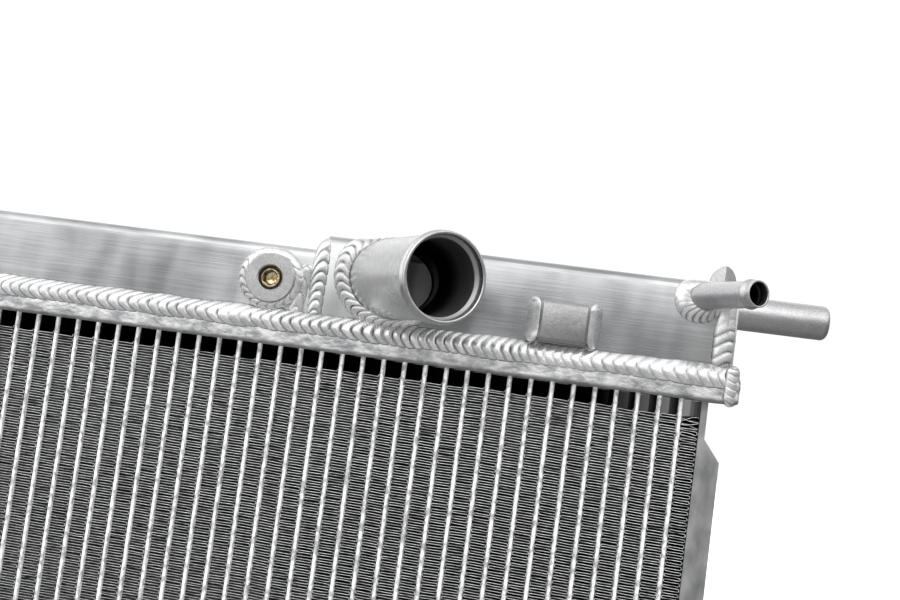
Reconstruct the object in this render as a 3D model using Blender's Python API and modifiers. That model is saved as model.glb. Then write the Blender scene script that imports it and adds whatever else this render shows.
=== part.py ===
"""A welded aluminium car radiator: two tanks, a core of flat tubes, hose necks and fittings.

The radiator stands on the flat underside of its lower tank. +Z is up along the tubes, +X runs along
the tanks, and the hose necks point to the front, which is -Y. The origin is the middle of the
underside. The air fins between the tubes are not solids here: they are foil 0.1 mm thick.
"""

import math

import bmesh
import bpy
from mathutils import Matrix, Vector

MM = 0.001
GAP = 0.3 * MM

# Core
TUBE_COUNT = 36
TUBE_PITCH = 10.0 * MM
TUBE_DEPTH = 36.0 * MM
TUBE_THICKNESS = 2.2 * MM
TUBE_WALL = 0.45 * MM
TUBE_NOSE_STEPS = 3
TUBE_REACH = 4.0 * MM
CORE_HEIGHT = 340.0 * MM

# Tanks and headers
LOWER_TANK_HEIGHT = 50.0 * MM
MAIN_TANK_HEIGHT = 52.8 * MM
SIDE_CHAMBER_HEIGHT = 45.6 * MM
TANK_HALF_DEPTH = 27.0 * MM
TANK_WALL = 2.0 * MM
TANK_CORNER_RADIUS = 4.0 * MM
CORNER_STEPS = 4
HEADER_HALF_LENGTH = 199.0 * MM
HEADER_WALL = 1.7 * MM
HEADER_DROP = 1.7 * MM
HEADER_LIP_HEIGHT = 6.0 * MM
HEADER_EDGE_RADIUS = 1.4 * MM
END_CAP_THICKNESS = 3.0 * MM
END_CAP_INSET = 4.3 * MM
STEP_PLATE_THICKNESS = 3.0 * MM
STEP_PLATE_RIM = 7.0 * MM
STEP_PLATE_HEIGHT = 48.8 * MM
TANK_JOINT_X = 1.0 * MM

# Side channels beside the core
CHANNEL_WALL = 1.5 * MM
CHANNEL_FLANGE = 10.8 * MM
CHANNEL_END_FLANGE = 3.0 * MM
CHANNEL_END_LENGTH = 17.0 * MM
CHANNEL_TAPER_LENGTH = 10.0 * MM
CHANNEL_HALF_DEPTH = 18.6 * MM
FIN_WIDTH = TUBE_PITCH - TUBE_THICKNESS

# Hose necks: heights are measured from the floor of the tank's header
NECK_RADIUS = 19.0 * MM
NECK_WALL = 1.8 * MM
NECK_BEAD_RADIUS = 20.5 * MM
NECK_BEAD_LENGTH = 3.2 * MM
NECK_LIP_LENGTH = 2.4 * MM
NECK_LIP_RADIUS = 20.2 * MM
NECK_TURN_STEPS = 40
INLET_X = 36.2 * MM
INLET_HEIGHT = 36.1 * MM
INLET_LENGTH = 50.0 * MM
INLET_ANGLE = math.radians(33.0)
INLET_HOLE_RADIUS = 15.6 * MM
INLET_HOLE_HEIGHT = 34.6 * MM
OUTLET_X = -140.0 * MM
OUTLET_HEIGHT = 25.6 * MM
OUTLET_LENGTH = 42.0 * MM
OUTLET_HOLE_RADIUS = 15.6 * MM

# Bleed nipple
NIPPLE_X = 177.2 * MM
NIPPLE_HEIGHT = 45.5 * MM
NIPPLE_RADIUS = 6.0 * MM
NIPPLE_WALL = 0.9 * MM
NIPPLE_BEAD_RADIUS = 6.9 * MM
NIPPLE_BEAD_LENGTH = 3.0 * MM
NIPPLE_LIP_LENGTH = 3.2 * MM
NIPPLE_LIP_RADIUS = 6.0 * MM
NIPPLE_LENGTH = 37.5 * MM
NIPPLE_ANGLE = math.radians(31.5)
NIPPLE_RISE = math.radians(1.6)
NIPPLE_TURN_STEPS = 24

# Threaded bung with its plug and ring
BUNG_X = -21.5 * MM
BUNG_HEIGHT = 29.2 * MM
BUNG_RADIUS = 11.6 * MM
BUNG_STAND = 4.0 * MM
BUNG_SPIGOT_RADIUS = 8.6 * MM
BUNG_SPIGOT_REACH = 6.0 * MM
BUNG_PORT_RADIUS = 5.65 * MM
BUNG_MOUTH_RADIUS = 6.3 * MM
BUNG_MOUTH_DEPTH = 0.7 * MM
BUNG_EDGE = 0.4 * MM
BUNG_TURN_STEPS = 40
PLUG_RECESS = 0.5 * MM
PLUG_HEAD_RADIUS = 4.45 * MM
PLUG_HEAD_LENGTH = 1.7 * MM
PLUG_SHANK_RADIUS = 5.0 * MM
PLUG_LENGTH = 9.0 * MM
PLUG_SOCKET_FLATS = 6.0 * MM
PLUG_SOCKET_DEPTH = 4.0 * MM
PLUG_TURN_STEPS = 32
RING_SECTION_RADIUS = 0.25 * MM
RING_TURN_STEPS = 28
RING_SECTION_STEPS = 8

# Mounting block, pegs and corner lug
BLOCK_X = 116.4 * MM
BLOCK_BOTTOM = 16.2 * MM
BLOCK_WIDTH = 22.5 * MM
BLOCK_HEIGHT = 18.2 * MM
BLOCK_DEPTH = 9.5 * MM
BLOCK_EDGE = 1.3 * MM
PEG_RADIUS = 8.2 * MM
PEG_LENGTH = 46.3 * MM
PEG_TIP_RADIUS = 2.8 * MM
PEG_TURN_STEPS = 32
PEG_TIP_STEPS = 4
UPPER_PEG_HEIGHT = 42.5 * MM
LOWER_PEG_HEIGHT = 24.0 * MM
LUG_X = 188.2 * MM
LUG_Y = -19.0 * MM
LUG_WIDTH = 7.2 * MM
LUG_RISE = 8.7 * MM
LUG_THICKNESS = 2.6 * MM
LUG_FOLD = math.radians(32.0)
LUG_ROUND_STEPS = 32

# Levels worked out from the sizes above
UPPER_HEADER_Z = LOWER_TANK_HEIGHT + CORE_HEIGHT
CAP_OUTER_X = HEADER_HALF_LENGTH - END_CAP_INSET
SHELL_END_X = CAP_OUTER_X - END_CAP_THICKNESS - GAP
TANK_SEAT = HEADER_WALL + GAP
FRONT_Y = -TANK_HALF_DEPTH
PLUG_FACE_Y = FRONT_Y - GAP - BUNG_STAND + PLUG_RECESS

# Local frames: columns are where the local X, Y and Z axes point
ACROSS = Matrix(((0, 0, 1), (1, 0, 0), (0, 1, 0))).to_4x4()
UPRIGHT = Matrix(((1, 0, 0), (0, 0, -1), (0, 1, 0))).to_4x4()
UPSIDE_DOWN = Matrix.Rotation(math.pi, 4, "X")
MERGE_DISTANCE = 0.000002

COLOURS = {
    "tube_aluminium": ((0.80, 0.81, 0.82), 0.35),
    "header_aluminium": ((0.74, 0.75, 0.76), 0.50),
    "tank_aluminium": ((0.66, 0.67, 0.68), 0.32),
    "neck_aluminium": ((0.68, 0.69, 0.70), 0.30),
    "fitting_aluminium": ((0.62, 0.63, 0.64), 0.36),
    "channel_aluminium": ((0.60, 0.61, 0.62), 0.40),
    "brass": ((0.80, 0.58, 0.26), 0.25),
}
RUBBER_COLOUR = (0.02, 0.02, 0.02)
RUBBER_ROUGHNESS = 0.6


def clear_scene():
    for found in list(bpy.data.objects):
        bpy.data.objects.remove(found, do_unlink=True)


def new_collection(name):
    made = bpy.data.collections.new(name)
    bpy.context.scene.collection.children.link(made)
    return made


def principled(name, colour, roughness, metallic):
    made = bpy.data.materials.new(name)
    made.use_nodes = True
    shader = made.node_tree.nodes["Principled BSDF"]
    shader.inputs["Base Color"].default_value = (*colour, 1.0)
    shader.inputs["Roughness"].default_value = roughness
    shader.inputs["Metallic"].default_value = metallic
    return made


def make_materials():
    made = {n: principled(n, colour, rough, 1.0) for n, (colour, rough) in COLOURS.items()}
    made["rubber"] = principled("rubber", RUBBER_COLOUR, RUBBER_ROUGHNESS, 0.0)
    return made


def frame_at(x, y, z, axes=None):
    place = Matrix.Translation((x, y, z))
    return place if axes is None else place @ axes


def aimed(x, y, z, direction):
    """A local frame whose Z axis points along direction."""
    turn = Vector(direction).to_track_quat("Z", "Y").to_matrix().to_4x4()
    return Matrix.Translation((x, y, z)) @ turn


def add_object(name, data, collection, material=None, matrix=None):
    made = bpy.data.objects.new(name, data)
    collection.objects.link(made)
    if material is not None:
        data.materials.append(material)
    if matrix is not None:
        made.matrix_world = matrix
    return made


def as_cutter(made):
    made.hide_render = True
    made.display_type = "WIRE"
    return made


def smooth_round_faces(mesh):
    mesh.shade_smooth()
    mesh.set_sharp_from_angle(angle=math.radians(35.0))


def box_mesh(name, low, high, edge=0.0, edge_steps=1):
    """A box between two corners, with its edges rounded where edge is given."""
    work = bmesh.new()
    bmesh.ops.create_cube(work, size=1.0)
    size = Vector(high) - Vector(low)
    bmesh.ops.scale(work, vec=size, verts=work.verts)
    bmesh.ops.translate(work, vec=(Vector(low) + Vector(high)) / 2, verts=work.verts)
    if edge:
        bmesh.ops.bevel(
            work,
            geom=list(work.edges),
            offset=edge,
            segments=edge_steps,
            profile=0.5,
            affect="EDGES",
        )
    mesh = bpy.data.meshes.new(name)
    work.to_mesh(mesh)
    work.free()
    return mesh


def cylinder_mesh(name, radius, low, high, sides):
    work = bmesh.new()
    bmesh.ops.create_cone(
        work,
        cap_ends=True,
        segments=sides,
        radius1=radius,
        radius2=radius,
        depth=high - low,
    )
    bmesh.ops.translate(work, vec=(0, 0, (low + high) / 2), verts=work.verts)
    mesh = bpy.data.meshes.new(name)
    work.to_mesh(mesh)
    work.free()
    return mesh


def curve_to_mesh(curve_object):
    """Swaps a curve object for a mesh object of the same name, place and material."""
    name = curve_object.name
    collection = curve_object.users_collection[0]
    place = curve_object.matrix_world.copy()
    graph = bpy.context.evaluated_depsgraph_get()
    mesh = bpy.data.meshes.new_from_object(curve_object.evaluated_get(graph))
    work = bmesh.new()
    work.from_mesh(mesh)
    bmesh.ops.remove_doubles(work, verts=work.verts, dist=MERGE_DISTANCE)
    bmesh.ops.recalc_face_normals(work, faces=work.faces)
    work.to_mesh(mesh)
    work.free()
    bpy.data.objects.remove(curve_object, do_unlink=True)
    mesh.name = name
    made = bpy.data.objects.new(name, mesh)
    collection.objects.link(made)
    made.matrix_world = place
    return made


def plate(name, outlines, thickness, collection, material, matrix):
    """A flat plate from closed outlines in local XY. Outlines after the first are its holes."""
    curve = bpy.data.curves.new(name, "CURVE")
    curve.dimensions = "2D"
    curve.fill_mode = "BOTH"
    curve.extrude = thickness / 2
    for outline in outlines:
        spline = curve.splines.new("POLY")
        spline.points.add(len(outline) - 1)
        for point, (x, y) in zip(spline.points, outline):
            point.co = (x, y, 0.0, 1.0)
        spline.use_cyclic_u = True
    made = add_object(name, curve, collection, material, matrix)
    bpy.context.view_layer.update()
    return curve_to_mesh(made)


def turned(name, profile, steps, collection, material, matrix, closed=False):
    """A solid turned about local Z from (radius, height) points down its outer side."""
    mesh = bpy.data.meshes.new(name)
    edges = [(i, i + 1) for i in range(len(profile) - 1)]
    if closed:
        edges.append((len(profile) - 1, 0))
    mesh.from_pydata([(r, 0.0, z) for r, z in profile], edges, [])
    made = add_object(name, mesh, collection, material, matrix)
    screw = made.modifiers.new("turn", "SCREW")
    screw.axis = "Z"
    screw.steps = steps
    screw.render_steps = steps
    screw.use_merge_vertices = True
    screw.merge_threshold = MERGE_DISTANCE
    screw.use_smooth_shade = True
    return made


def cut(target, cutter):
    boolean = target.modifiers.new("cut_" + cutter.name, "BOOLEAN")
    boolean.operation = "DIFFERENCE"
    boolean.solver = "EXACT"
    boolean.object = cutter


def arc(centre_x, centre_y, radius, start, end, steps):
    """Points on an arc from one angle in degrees to another, both ends included."""
    points = []
    for i in range(steps + 1):
        angle = math.radians(start + (end - start) * i / steps)
        points.append((centre_x + radius * math.cos(angle), centre_y + radius * math.sin(angle)))
    return points


def stadium(depth, thickness, steps):
    """The outline of a flat tube: two straight sides and two half-round noses."""
    radius = thickness / 2
    straight = depth / 2 - radius
    return arc(0, straight, radius, 0, 180, steps) + arc(0, -straight, radius, 180, 360, steps)


def tank_section(half_depth, seat, top, radius):
    """The arch of a tank from one seat edge over the top to the other, as (y, z) points."""
    rise = top - radius
    flat = half_depth - radius
    left = arc(-flat, rise, radius, 180, 90, CORNER_STEPS)
    right = arc(flat, rise, radius, 90, 0, CORNER_STEPS)
    return [(-half_depth, seat)] + left + right + [(half_depth, seat)]


def place_in_tank(x, upper):
    """The frame of a tank: local Z points away from the core, and 0 is its header's floor."""
    if upper:
        return frame_at(x, 0, UPPER_HEADER_Z)
    return frame_at(x, 0, LOWER_TANK_HEIGHT, UPSIDE_DOWN)


def tube_x(index):
    return (index - (TUBE_COUNT - 1) / 2) * TUBE_PITCH


def make_tubes(parts, material):
    outer = stadium(TUBE_DEPTH, TUBE_THICKNESS, TUBE_NOSE_STEPS)
    inner = stadium(TUBE_DEPTH - 2 * TUBE_WALL, TUBE_THICKNESS - 2 * TUBE_WALL, TUBE_NOSE_STEPS)
    middle = LOWER_TANK_HEIGHT + CORE_HEIGHT / 2
    length = CORE_HEIGHT + 2 * TUBE_REACH
    first = plate(
        "tube_01", [outer, inner], length, parts, material, frame_at(tube_x(0), 0, middle)
    )
    smooth_round_faces(first.data)
    for index in range(1, TUBE_COUNT):
        name = f"tube_{index + 1:02d}"
        add_object(name, first.data, parts, None, frame_at(tube_x(index), 0, middle))


def slot_cutter(cutters):
    """One stadium prism for each tube, GAP wider than the tube all round."""
    outline = stadium(TUBE_DEPTH + 2 * GAP, TUBE_THICKNESS + 2 * GAP, TUBE_NOSE_STEPS)
    made = plate("slot_cutter", [outline], 4 * HEADER_WALL, cutters, None, frame_at(tube_x(0), 0, 0))
    array = made.modifiers.new("row", "ARRAY")
    array.count = TUBE_COUNT
    array.use_relative_offset = False
    array.use_constant_offset = True
    array.constant_offset_displace = (TUBE_PITCH, 0, 0)
    array.use_merge_vertices = False
    return as_cutter(made)


def make_header(name, upper, parts, cutters, material):
    """A pressed tray: a slotted floor on the core side and a lip all round."""
    outer_y = TANK_HALF_DEPTH + GAP + HEADER_WALL
    low = (-HEADER_HALF_LENGTH, -outer_y, -HEADER_DROP)
    high = (HEADER_HALF_LENGTH, outer_y, HEADER_LIP_HEIGHT + HEADER_EDGE_RADIUS)
    place = place_in_tank(0, upper)
    mesh = box_mesh(name, low, high, HEADER_EDGE_RADIUS, 3)
    made = add_object(name, mesh, parts, material, place)
    inner_x = HEADER_HALF_LENGTH - HEADER_WALL
    inner_y = outer_y - HEADER_WALL
    hollow_low = (-inner_x, -inner_y, HEADER_WALL - HEADER_DROP)
    hollow_high = (inner_x, inner_y, 3 * HEADER_LIP_HEIGHT)
    hollow_mesh = box_mesh(name + "_hollow", hollow_low, hollow_high)
    hollow = as_cutter(add_object(name + "_hollow", hollow_mesh, cutters, None, place))
    trim_low = (-2 * HEADER_HALF_LENGTH, -2 * outer_y, HEADER_LIP_HEIGHT)
    trim_high = (2 * HEADER_HALF_LENGTH, 2 * outer_y, 3 * HEADER_LIP_HEIGHT)
    trim_mesh = box_mesh(name + "_trim", trim_low, trim_high)
    trim = as_cutter(add_object(name + "_trim", trim_mesh, cutters, None, place))
    slots = slot_cutter(cutters)
    slots.name = name + "_slots"
    slots.matrix_world = place @ slots.matrix_world
    for cutter in (hollow, trim, slots):
        cut(made, cutter)
    return made


def make_shell(name, x_from, x_to, height, upper, parts, material):
    """A bent tank shell: an arch swept along X and given its wall inwards."""
    section = tank_section(TANK_HALF_DEPTH, TANK_SEAT, height, TANK_CORNER_RADIUS)
    work = bmesh.new()
    verts = [work.verts.new((0, y, z)) for y, z in section]
    edges = [work.edges.new(pair) for pair in zip(verts, verts[1:])]
    swept = bmesh.ops.extrude_edge_only(work, edges=edges)["geom"]
    moved = [v for v in swept if isinstance(v, bmesh.types.BMVert)]
    bmesh.ops.translate(work, vec=(x_to - x_from, 0, 0), verts=moved)
    bmesh.ops.recalc_face_normals(work, faces=work.faces)
    top = max(work.faces, key=lambda face: face.calc_center_median().z)
    if top.normal.z < 0:
        bmesh.ops.reverse_faces(work, faces=work.faces)
    mesh = bpy.data.meshes.new(name)
    work.to_mesh(mesh)
    work.free()
    smooth_round_faces(mesh)
    made = add_object(name, mesh, parts, material, place_in_tank(x_from, upper))
    solidify = made.modifiers.new("wall", "SOLIDIFY")
    solidify.thickness = TANK_WALL
    solidify.offset = -1.0
    solidify.use_even_offset = True
    return made


def make_section_plate(name, x_low, thickness, height, upper, window, parts, material):
    """A plate that fills the tank's section, with a window in it if window is set."""
    outlines = [tank_section(TANK_HALF_DEPTH, TANK_SEAT, height, TANK_CORNER_RADIUS)]
    if window:
        inner = tank_section(
            TANK_HALF_DEPTH - STEP_PLATE_RIM,
            TANK_SEAT + STEP_PLATE_RIM,
            height - 2 * STEP_PLATE_RIM,
            TANK_CORNER_RADIUS,
        )
        outlines.append(inner)
    place = place_in_tank(x_low + thickness / 2, upper) @ ACROSS
    return plate(name, outlines, thickness, parts, material, place)


def make_end_caps(parts, material):
    centre = CAP_OUTER_X - END_CAP_THICKNESS
    lower_height = LOWER_TANK_HEIGHT
    rows = (
        ("upper_end_cap_right", centre, MAIN_TANK_HEIGHT, True),
        ("upper_end_cap_left", -CAP_OUTER_X, SIDE_CHAMBER_HEIGHT, True),
        ("lower_end_cap_right", centre, lower_height, False),
        ("lower_end_cap_left", -CAP_OUTER_X, lower_height, False),
    )
    for name, x_low, height, upper in rows:
        make_section_plate(name, x_low, END_CAP_THICKNESS, height, upper, False, parts, material)


def make_tanks(parts, cutters, material):
    half_step = STEP_PLATE_THICKNESS / 2
    side_end = TANK_JOINT_X - half_step - GAP
    main_start = TANK_JOINT_X + half_step + GAP
    side = make_shell(
        "upper_tank_side_chamber", -SHELL_END_X, side_end, SIDE_CHAMBER_HEIGHT, True, parts, material
    )
    main = make_shell(
        "upper_tank_main", main_start, SHELL_END_X, MAIN_TANK_HEIGHT, True, parts, material
    )
    lower = make_shell(
        "lower_tank", -SHELL_END_X, SHELL_END_X, LOWER_TANK_HEIGHT, False, parts, material
    )
    make_section_plate(
        "tank_step_plate",
        TANK_JOINT_X - half_step,
        STEP_PLATE_THICKNESS,
        STEP_PLATE_HEIGHT,
        True,
        True,
        parts,
        material,
    )
    holes = (
        (side, "bung_hole", BUNG_X, bung_z(), front_direction(0.0), BUNG_SPIGOT_RADIUS + GAP),
        (main, "inlet_hole", INLET_X, inlet_hole_z(), front_direction(INLET_ANGLE), INLET_HOLE_RADIUS),
        (main, "nipple_hole", NIPPLE_X, nipple_z(), nipple_direction(), NIPPLE_RADIUS - NIPPLE_WALL),
        (lower, "outlet_hole", OUTLET_X, outlet_z(), front_direction(0.0), OUTLET_HOLE_RADIUS),
    )
    for shell, name, x, z, direction, radius in holes:
        reach = radius * math.tan(math.acos(-direction[1])) + 3 * TANK_WALL
        mesh = cylinder_mesh(name, radius, -reach, reach, NECK_TURN_STEPS)
        place = aimed(x, FRONT_Y, z, direction)
        cut(shell, as_cutter(add_object(name, mesh, cutters, None, place)))


def front_direction(angle, rise=0.0):
    """Straight out of the front face, turned towards +X by angle and up by rise."""
    level = math.cos(rise)
    return (level * math.sin(angle), -level * math.cos(angle), math.sin(rise))


def nipple_direction():
    return front_direction(NIPPLE_ANGLE, NIPPLE_RISE)


def inlet_z():
    return UPPER_HEADER_Z + INLET_HEIGHT


def inlet_hole_z():
    return UPPER_HEADER_Z + INLET_HOLE_HEIGHT


def bung_z():
    return UPPER_HEADER_Z + BUNG_HEIGHT


def nipple_z():
    return UPPER_HEADER_Z + NIPPLE_HEIGHT


def outlet_z():
    return LOWER_TANK_HEIGHT - OUTLET_HEIGHT


def beaded_tube_profile(radius, wall, bead_radius, bead_length, lip_radius, lip_length, root, tip):
    """A hose tube's section: plain tube, a rolled bead near the mouth, and a short lip."""
    bead_top = tip - lip_length
    bead_low = bead_top - bead_length
    rise = bead_radius - radius
    bore = radius - wall
    lip_bore = lip_radius - wall
    edge = 0.3 * wall
    outer = [(lip_radius - edge, tip), (lip_radius, tip - edge), (lip_radius, bead_top + edge)]
    outer.append((radius, bead_top))
    for i in range(1, 5):
        share = i / 5
        outer.append((radius + rise * math.sin(math.pi * share), bead_top - bead_length * share))
    outer += [(radius, bead_low), (radius, root)]
    inner = [(bore, root), (bore, bead_low)]
    for i in range(1, 4):
        share = i / 4
        inner.append((bore + 0.8 * rise * math.sin(math.pi * share), bead_low + bead_length * share))
    inner += [(bore, bead_top), (lip_bore, bead_top + edge), (lip_bore, tip - edge)]
    inner.append((lip_bore + edge, tip))
    return outer + inner


def make_neck(name, x, z, direction, length, sizes, steps, parts, cutters, material):
    """A beaded tube that meets the tank's flat front at an angle and is cut off along it."""
    radius = sizes[0]
    lean = math.acos(-direction[1])
    root = -1.2 * radius * math.tan(lean) - 2 * TANK_WALL
    profile = beaded_tube_profile(*sizes, root, length)
    place = aimed(x, FRONT_Y, z, direction)
    made = turned(name, profile, steps, parts, material, place, closed=True)
    reach = 4 * radius
    low = (x - reach, FRONT_Y - GAP, z - reach)
    high = (x + reach, FRONT_Y + reach, z + reach)
    cutter_mesh = box_mesh(name + "_face", low, high)
    cut(made, as_cutter(add_object(name + "_face", cutter_mesh, cutters)))
    return made


def make_necks(parts, cutters, materials):
    hose = (
        NECK_RADIUS,
        NECK_WALL,
        NECK_BEAD_RADIUS,
        NECK_BEAD_LENGTH,
        NECK_LIP_RADIUS,
        NECK_LIP_LENGTH,
    )
    bleed = (
        NIPPLE_RADIUS,
        NIPPLE_WALL,
        NIPPLE_BEAD_RADIUS,
        NIPPLE_BEAD_LENGTH,
        NIPPLE_LIP_RADIUS,
        NIPPLE_LIP_LENGTH,
    )
    neck, fitting = materials["neck_aluminium"], materials["fitting_aluminium"]
    slanted, straight = front_direction(INLET_ANGLE), front_direction(0.0)
    turns, few_turns = NECK_TURN_STEPS, NIPPLE_TURN_STEPS
    rows = (
        ("inlet_neck", INLET_X, inlet_z(), slanted, INLET_LENGTH, hose, turns, neck),
        ("outlet_neck", OUTLET_X, outlet_z(), straight, OUTLET_LENGTH, hose, turns, neck),
        ("bleed_nipple", NIPPLE_X, nipple_z(), nipple_direction(), NIPPLE_LENGTH, bleed, few_turns, fitting),
    )
    for name, x, z, direction, length, sizes, steps, material in rows:
        make_neck(name, x, z, direction, length, sizes, steps, parts, cutters, material)


def make_bung(parts, material):
    """A turned boss on the tank's face with a spigot through its wall. Height 0 is the tank face."""
    stand = GAP + BUNG_STAND
    profile = [
        (BUNG_RADIUS - BUNG_EDGE, stand),
        (BUNG_RADIUS, stand - BUNG_EDGE),
        (BUNG_RADIUS, GAP),
        (BUNG_SPIGOT_RADIUS, GAP),
        (BUNG_SPIGOT_RADIUS, -BUNG_SPIGOT_REACH),
        (BUNG_PORT_RADIUS, -BUNG_SPIGOT_REACH),
        (BUNG_PORT_RADIUS, stand - BUNG_MOUTH_DEPTH),
        (BUNG_MOUTH_RADIUS, stand),
    ]
    place = aimed(BUNG_X, FRONT_Y, bung_z(), (0, -1, 0))
    turned("plug_bung", profile, BUNG_TURN_STEPS, parts, material, place, closed=True)


def make_plug(parts, cutters, material):
    """The plug: a narrow head, a shank that stands for its thread, and a hexagon socket."""
    edge = 0.3 * MM
    profile = [
        (0.0, 0.0),
        (PLUG_HEAD_RADIUS - edge, 0.0),
        (PLUG_HEAD_RADIUS, -edge),
        (PLUG_HEAD_RADIUS, -PLUG_HEAD_LENGTH),
        (PLUG_SHANK_RADIUS - edge, -PLUG_HEAD_LENGTH),
        (PLUG_SHANK_RADIUS, -PLUG_HEAD_LENGTH - edge),
        (PLUG_SHANK_RADIUS, -PLUG_LENGTH + 2 * edge),
        (PLUG_SHANK_RADIUS - 2 * edge, -PLUG_LENGTH),
        (0.0, -PLUG_LENGTH),
    ]
    place = aimed(BUNG_X, PLUG_FACE_Y, bung_z(), (0, -1, 0))
    made = turned("brass_plug", profile, PLUG_TURN_STEPS, parts, material, place)
    corner_radius = PLUG_SOCKET_FLATS / 2 / math.cos(math.radians(30.0))
    mesh = cylinder_mesh("plug_socket", corner_radius, -PLUG_SOCKET_DEPTH, PLUG_SOCKET_DEPTH, 6)
    cut(made, as_cutter(add_object("plug_socket", mesh, cutters, None, place)))


def make_ring(parts, material):
    """The rubber ring round the plug's head, between the head and the mouth of the port."""
    centre = (PLUG_HEAD_RADIUS + BUNG_PORT_RADIUS) / 2
    height = -PLUG_HEAD_LENGTH + GAP + RING_SECTION_RADIUS
    profile = []
    for i in range(RING_SECTION_STEPS):
        angle = -2 * math.pi * i / RING_SECTION_STEPS
        profile.append(
            (
                centre + RING_SECTION_RADIUS * math.cos(angle),
                height + RING_SECTION_RADIUS * math.sin(angle),
            )
        )
    place = aimed(BUNG_X, PLUG_FACE_Y, bung_z(), (0, -1, 0))
    turned("plug_ring", profile, RING_TURN_STEPS, parts, material, place, closed=True)


def make_block(parts, material):
    low = (BLOCK_X - BLOCK_WIDTH / 2, FRONT_Y - GAP - BLOCK_DEPTH, UPPER_HEADER_Z + BLOCK_BOTTOM)
    high = (BLOCK_X + BLOCK_WIDTH / 2, FRONT_Y - GAP, low[2] + BLOCK_HEIGHT)
    add_object("mounting_block", box_mesh("mounting_block", low, high, BLOCK_EDGE, 2), parts, material)


def make_pegs(parts, material):
    """A solid round peg on each end cap. Local Z points out of the tank."""
    flat = PEG_RADIUS - PEG_TIP_RADIUS
    rise = PEG_LENGTH - PEG_TIP_RADIUS
    tip = arc(flat, rise, PEG_TIP_RADIUS, 90, 0, PEG_TIP_STEPS)
    profile = [(0.0, PEG_LENGTH)] + tip + [(PEG_RADIUS, GAP), (0.0, GAP)]
    upper_z = UPPER_HEADER_Z + UPPER_PEG_HEIGHT
    side_z = UPPER_HEADER_Z + SIDE_CHAMBER_HEIGHT / 2
    rows = (
        ("upper_peg_right", 1, upper_z),
        ("upper_peg_left", -1, side_z),
        ("lower_peg_right", 1, LOWER_PEG_HEIGHT),
        ("lower_peg_left", -1, LOWER_PEG_HEIGHT),
    )
    for name, side, z in rows:
        place = aimed(side * CAP_OUTER_X, 0, z, (side, 0, 0))
        turned(name, profile, PEG_TURN_STEPS, parts, material, place)


def make_corner_lug(parts, cutters, material):
    """A small folded ear on top of the tank: two leaves meet at an upright fold under a round top."""
    across = LUG_WIDTH * math.cos(LUG_FOLD)
    back = LUG_WIDTH * math.sin(LUG_FOLD)
    wall = LUG_THICKNESS / math.cos(LUG_FOLD)
    outline = [(0, 0), (across, back), (across, back + wall), (0, wall)]
    outline += [(-across, back + wall), (-across, back)]
    top = UPPER_HEADER_Z + MAIN_TANK_HEIGHT + GAP
    middle = frame_at(LUG_X, LUG_Y, top + LUG_RISE)
    made = plate("corner_lug", [outline], 2 * LUG_RISE, parts, None, middle)
    made.data.materials.append(material)
    mesh = cylinder_mesh("lug_round", across, -4 * LUG_WIDTH, 4 * LUG_WIDTH, LUG_ROUND_STEPS)
    mesh.transform(Matrix.Diagonal((1.0, LUG_RISE / across, 1.0, 1.0)))
    place = frame_at(LUG_X, LUG_Y, top, Matrix.Rotation(math.pi / 2, 4, "X"))
    boolean = made.modifiers.new("round_top", "BOOLEAN")
    boolean.operation = "INTERSECT"
    boolean.solver = "EXACT"
    boolean.object = as_cutter(add_object("lug_round", mesh, cutters, None, place))


def make_side_channel(name, side, parts, cutters, material):
    """A channel beside the core: a web on the last fins and two flanges that point outwards."""
    inner_x = tube_x(TUBE_COUNT - 1) + TUBE_THICKNESS / 2 + FIN_WIDTH + GAP
    outer_x = inner_x + CHANNEL_FLANGE
    low_z = LOWER_TANK_HEIGHT + HEADER_DROP + GAP
    high_z = UPPER_HEADER_Z - HEADER_DROP - GAP
    mesh = box_mesh(
        name, (inner_x, -CHANNEL_HALF_DEPTH, low_z), (outer_x, CHANNEL_HALF_DEPTH, high_z)
    )
    made = add_object(name, mesh, parts, material)
    hollow_y = CHANNEL_HALF_DEPTH - CHANNEL_WALL
    hollow_mesh = box_mesh(
        name + "_hollow",
        (inner_x + CHANNEL_WALL, -hollow_y, low_z - CHANNEL_FLANGE),
        (outer_x + CHANNEL_FLANGE, hollow_y, high_z + CHANNEL_FLANGE),
    )
    hollow = as_cutter(add_object(name + "_hollow", hollow_mesh, cutters))
    cut(made, hollow)
    step_x = inner_x + CHANNEL_END_FLANGE
    far_x = outer_x + CHANNEL_FLANGE
    slope = (outer_x - step_x) / CHANNEL_TAPER_LENGTH
    turn_z = CHANNEL_END_LENGTH + CHANNEL_TAPER_LENGTH + (far_x - outer_x) / slope
    for end, base_z, sign in (("top", high_z, -1), ("bottom", low_z, 1)):
        corner = [
            (step_x, base_z - sign * CHANNEL_FLANGE),
            (step_x, base_z + sign * CHANNEL_END_LENGTH),
            (far_x, base_z + sign * turn_z),
            (far_x, base_z - sign * CHANNEL_FLANGE),
        ]
        wide = 4 * CHANNEL_HALF_DEPTH
        corner_cutter = plate(f"{name}_{end}", [corner], wide, cutters, None, UPRIGHT)
        cut(made, as_cutter(corner_cutter))
    if side < 0:
        flip_to_left(made)
        for modifier in made.modifiers:
            flip_to_left(modifier.object)


def flip_to_left(made):
    """Turns an object half a turn about the vertical axis, from the right end to the left."""
    made.matrix_world = Matrix.Rotation(math.pi, 4, "Z") @ made.matrix_world


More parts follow.
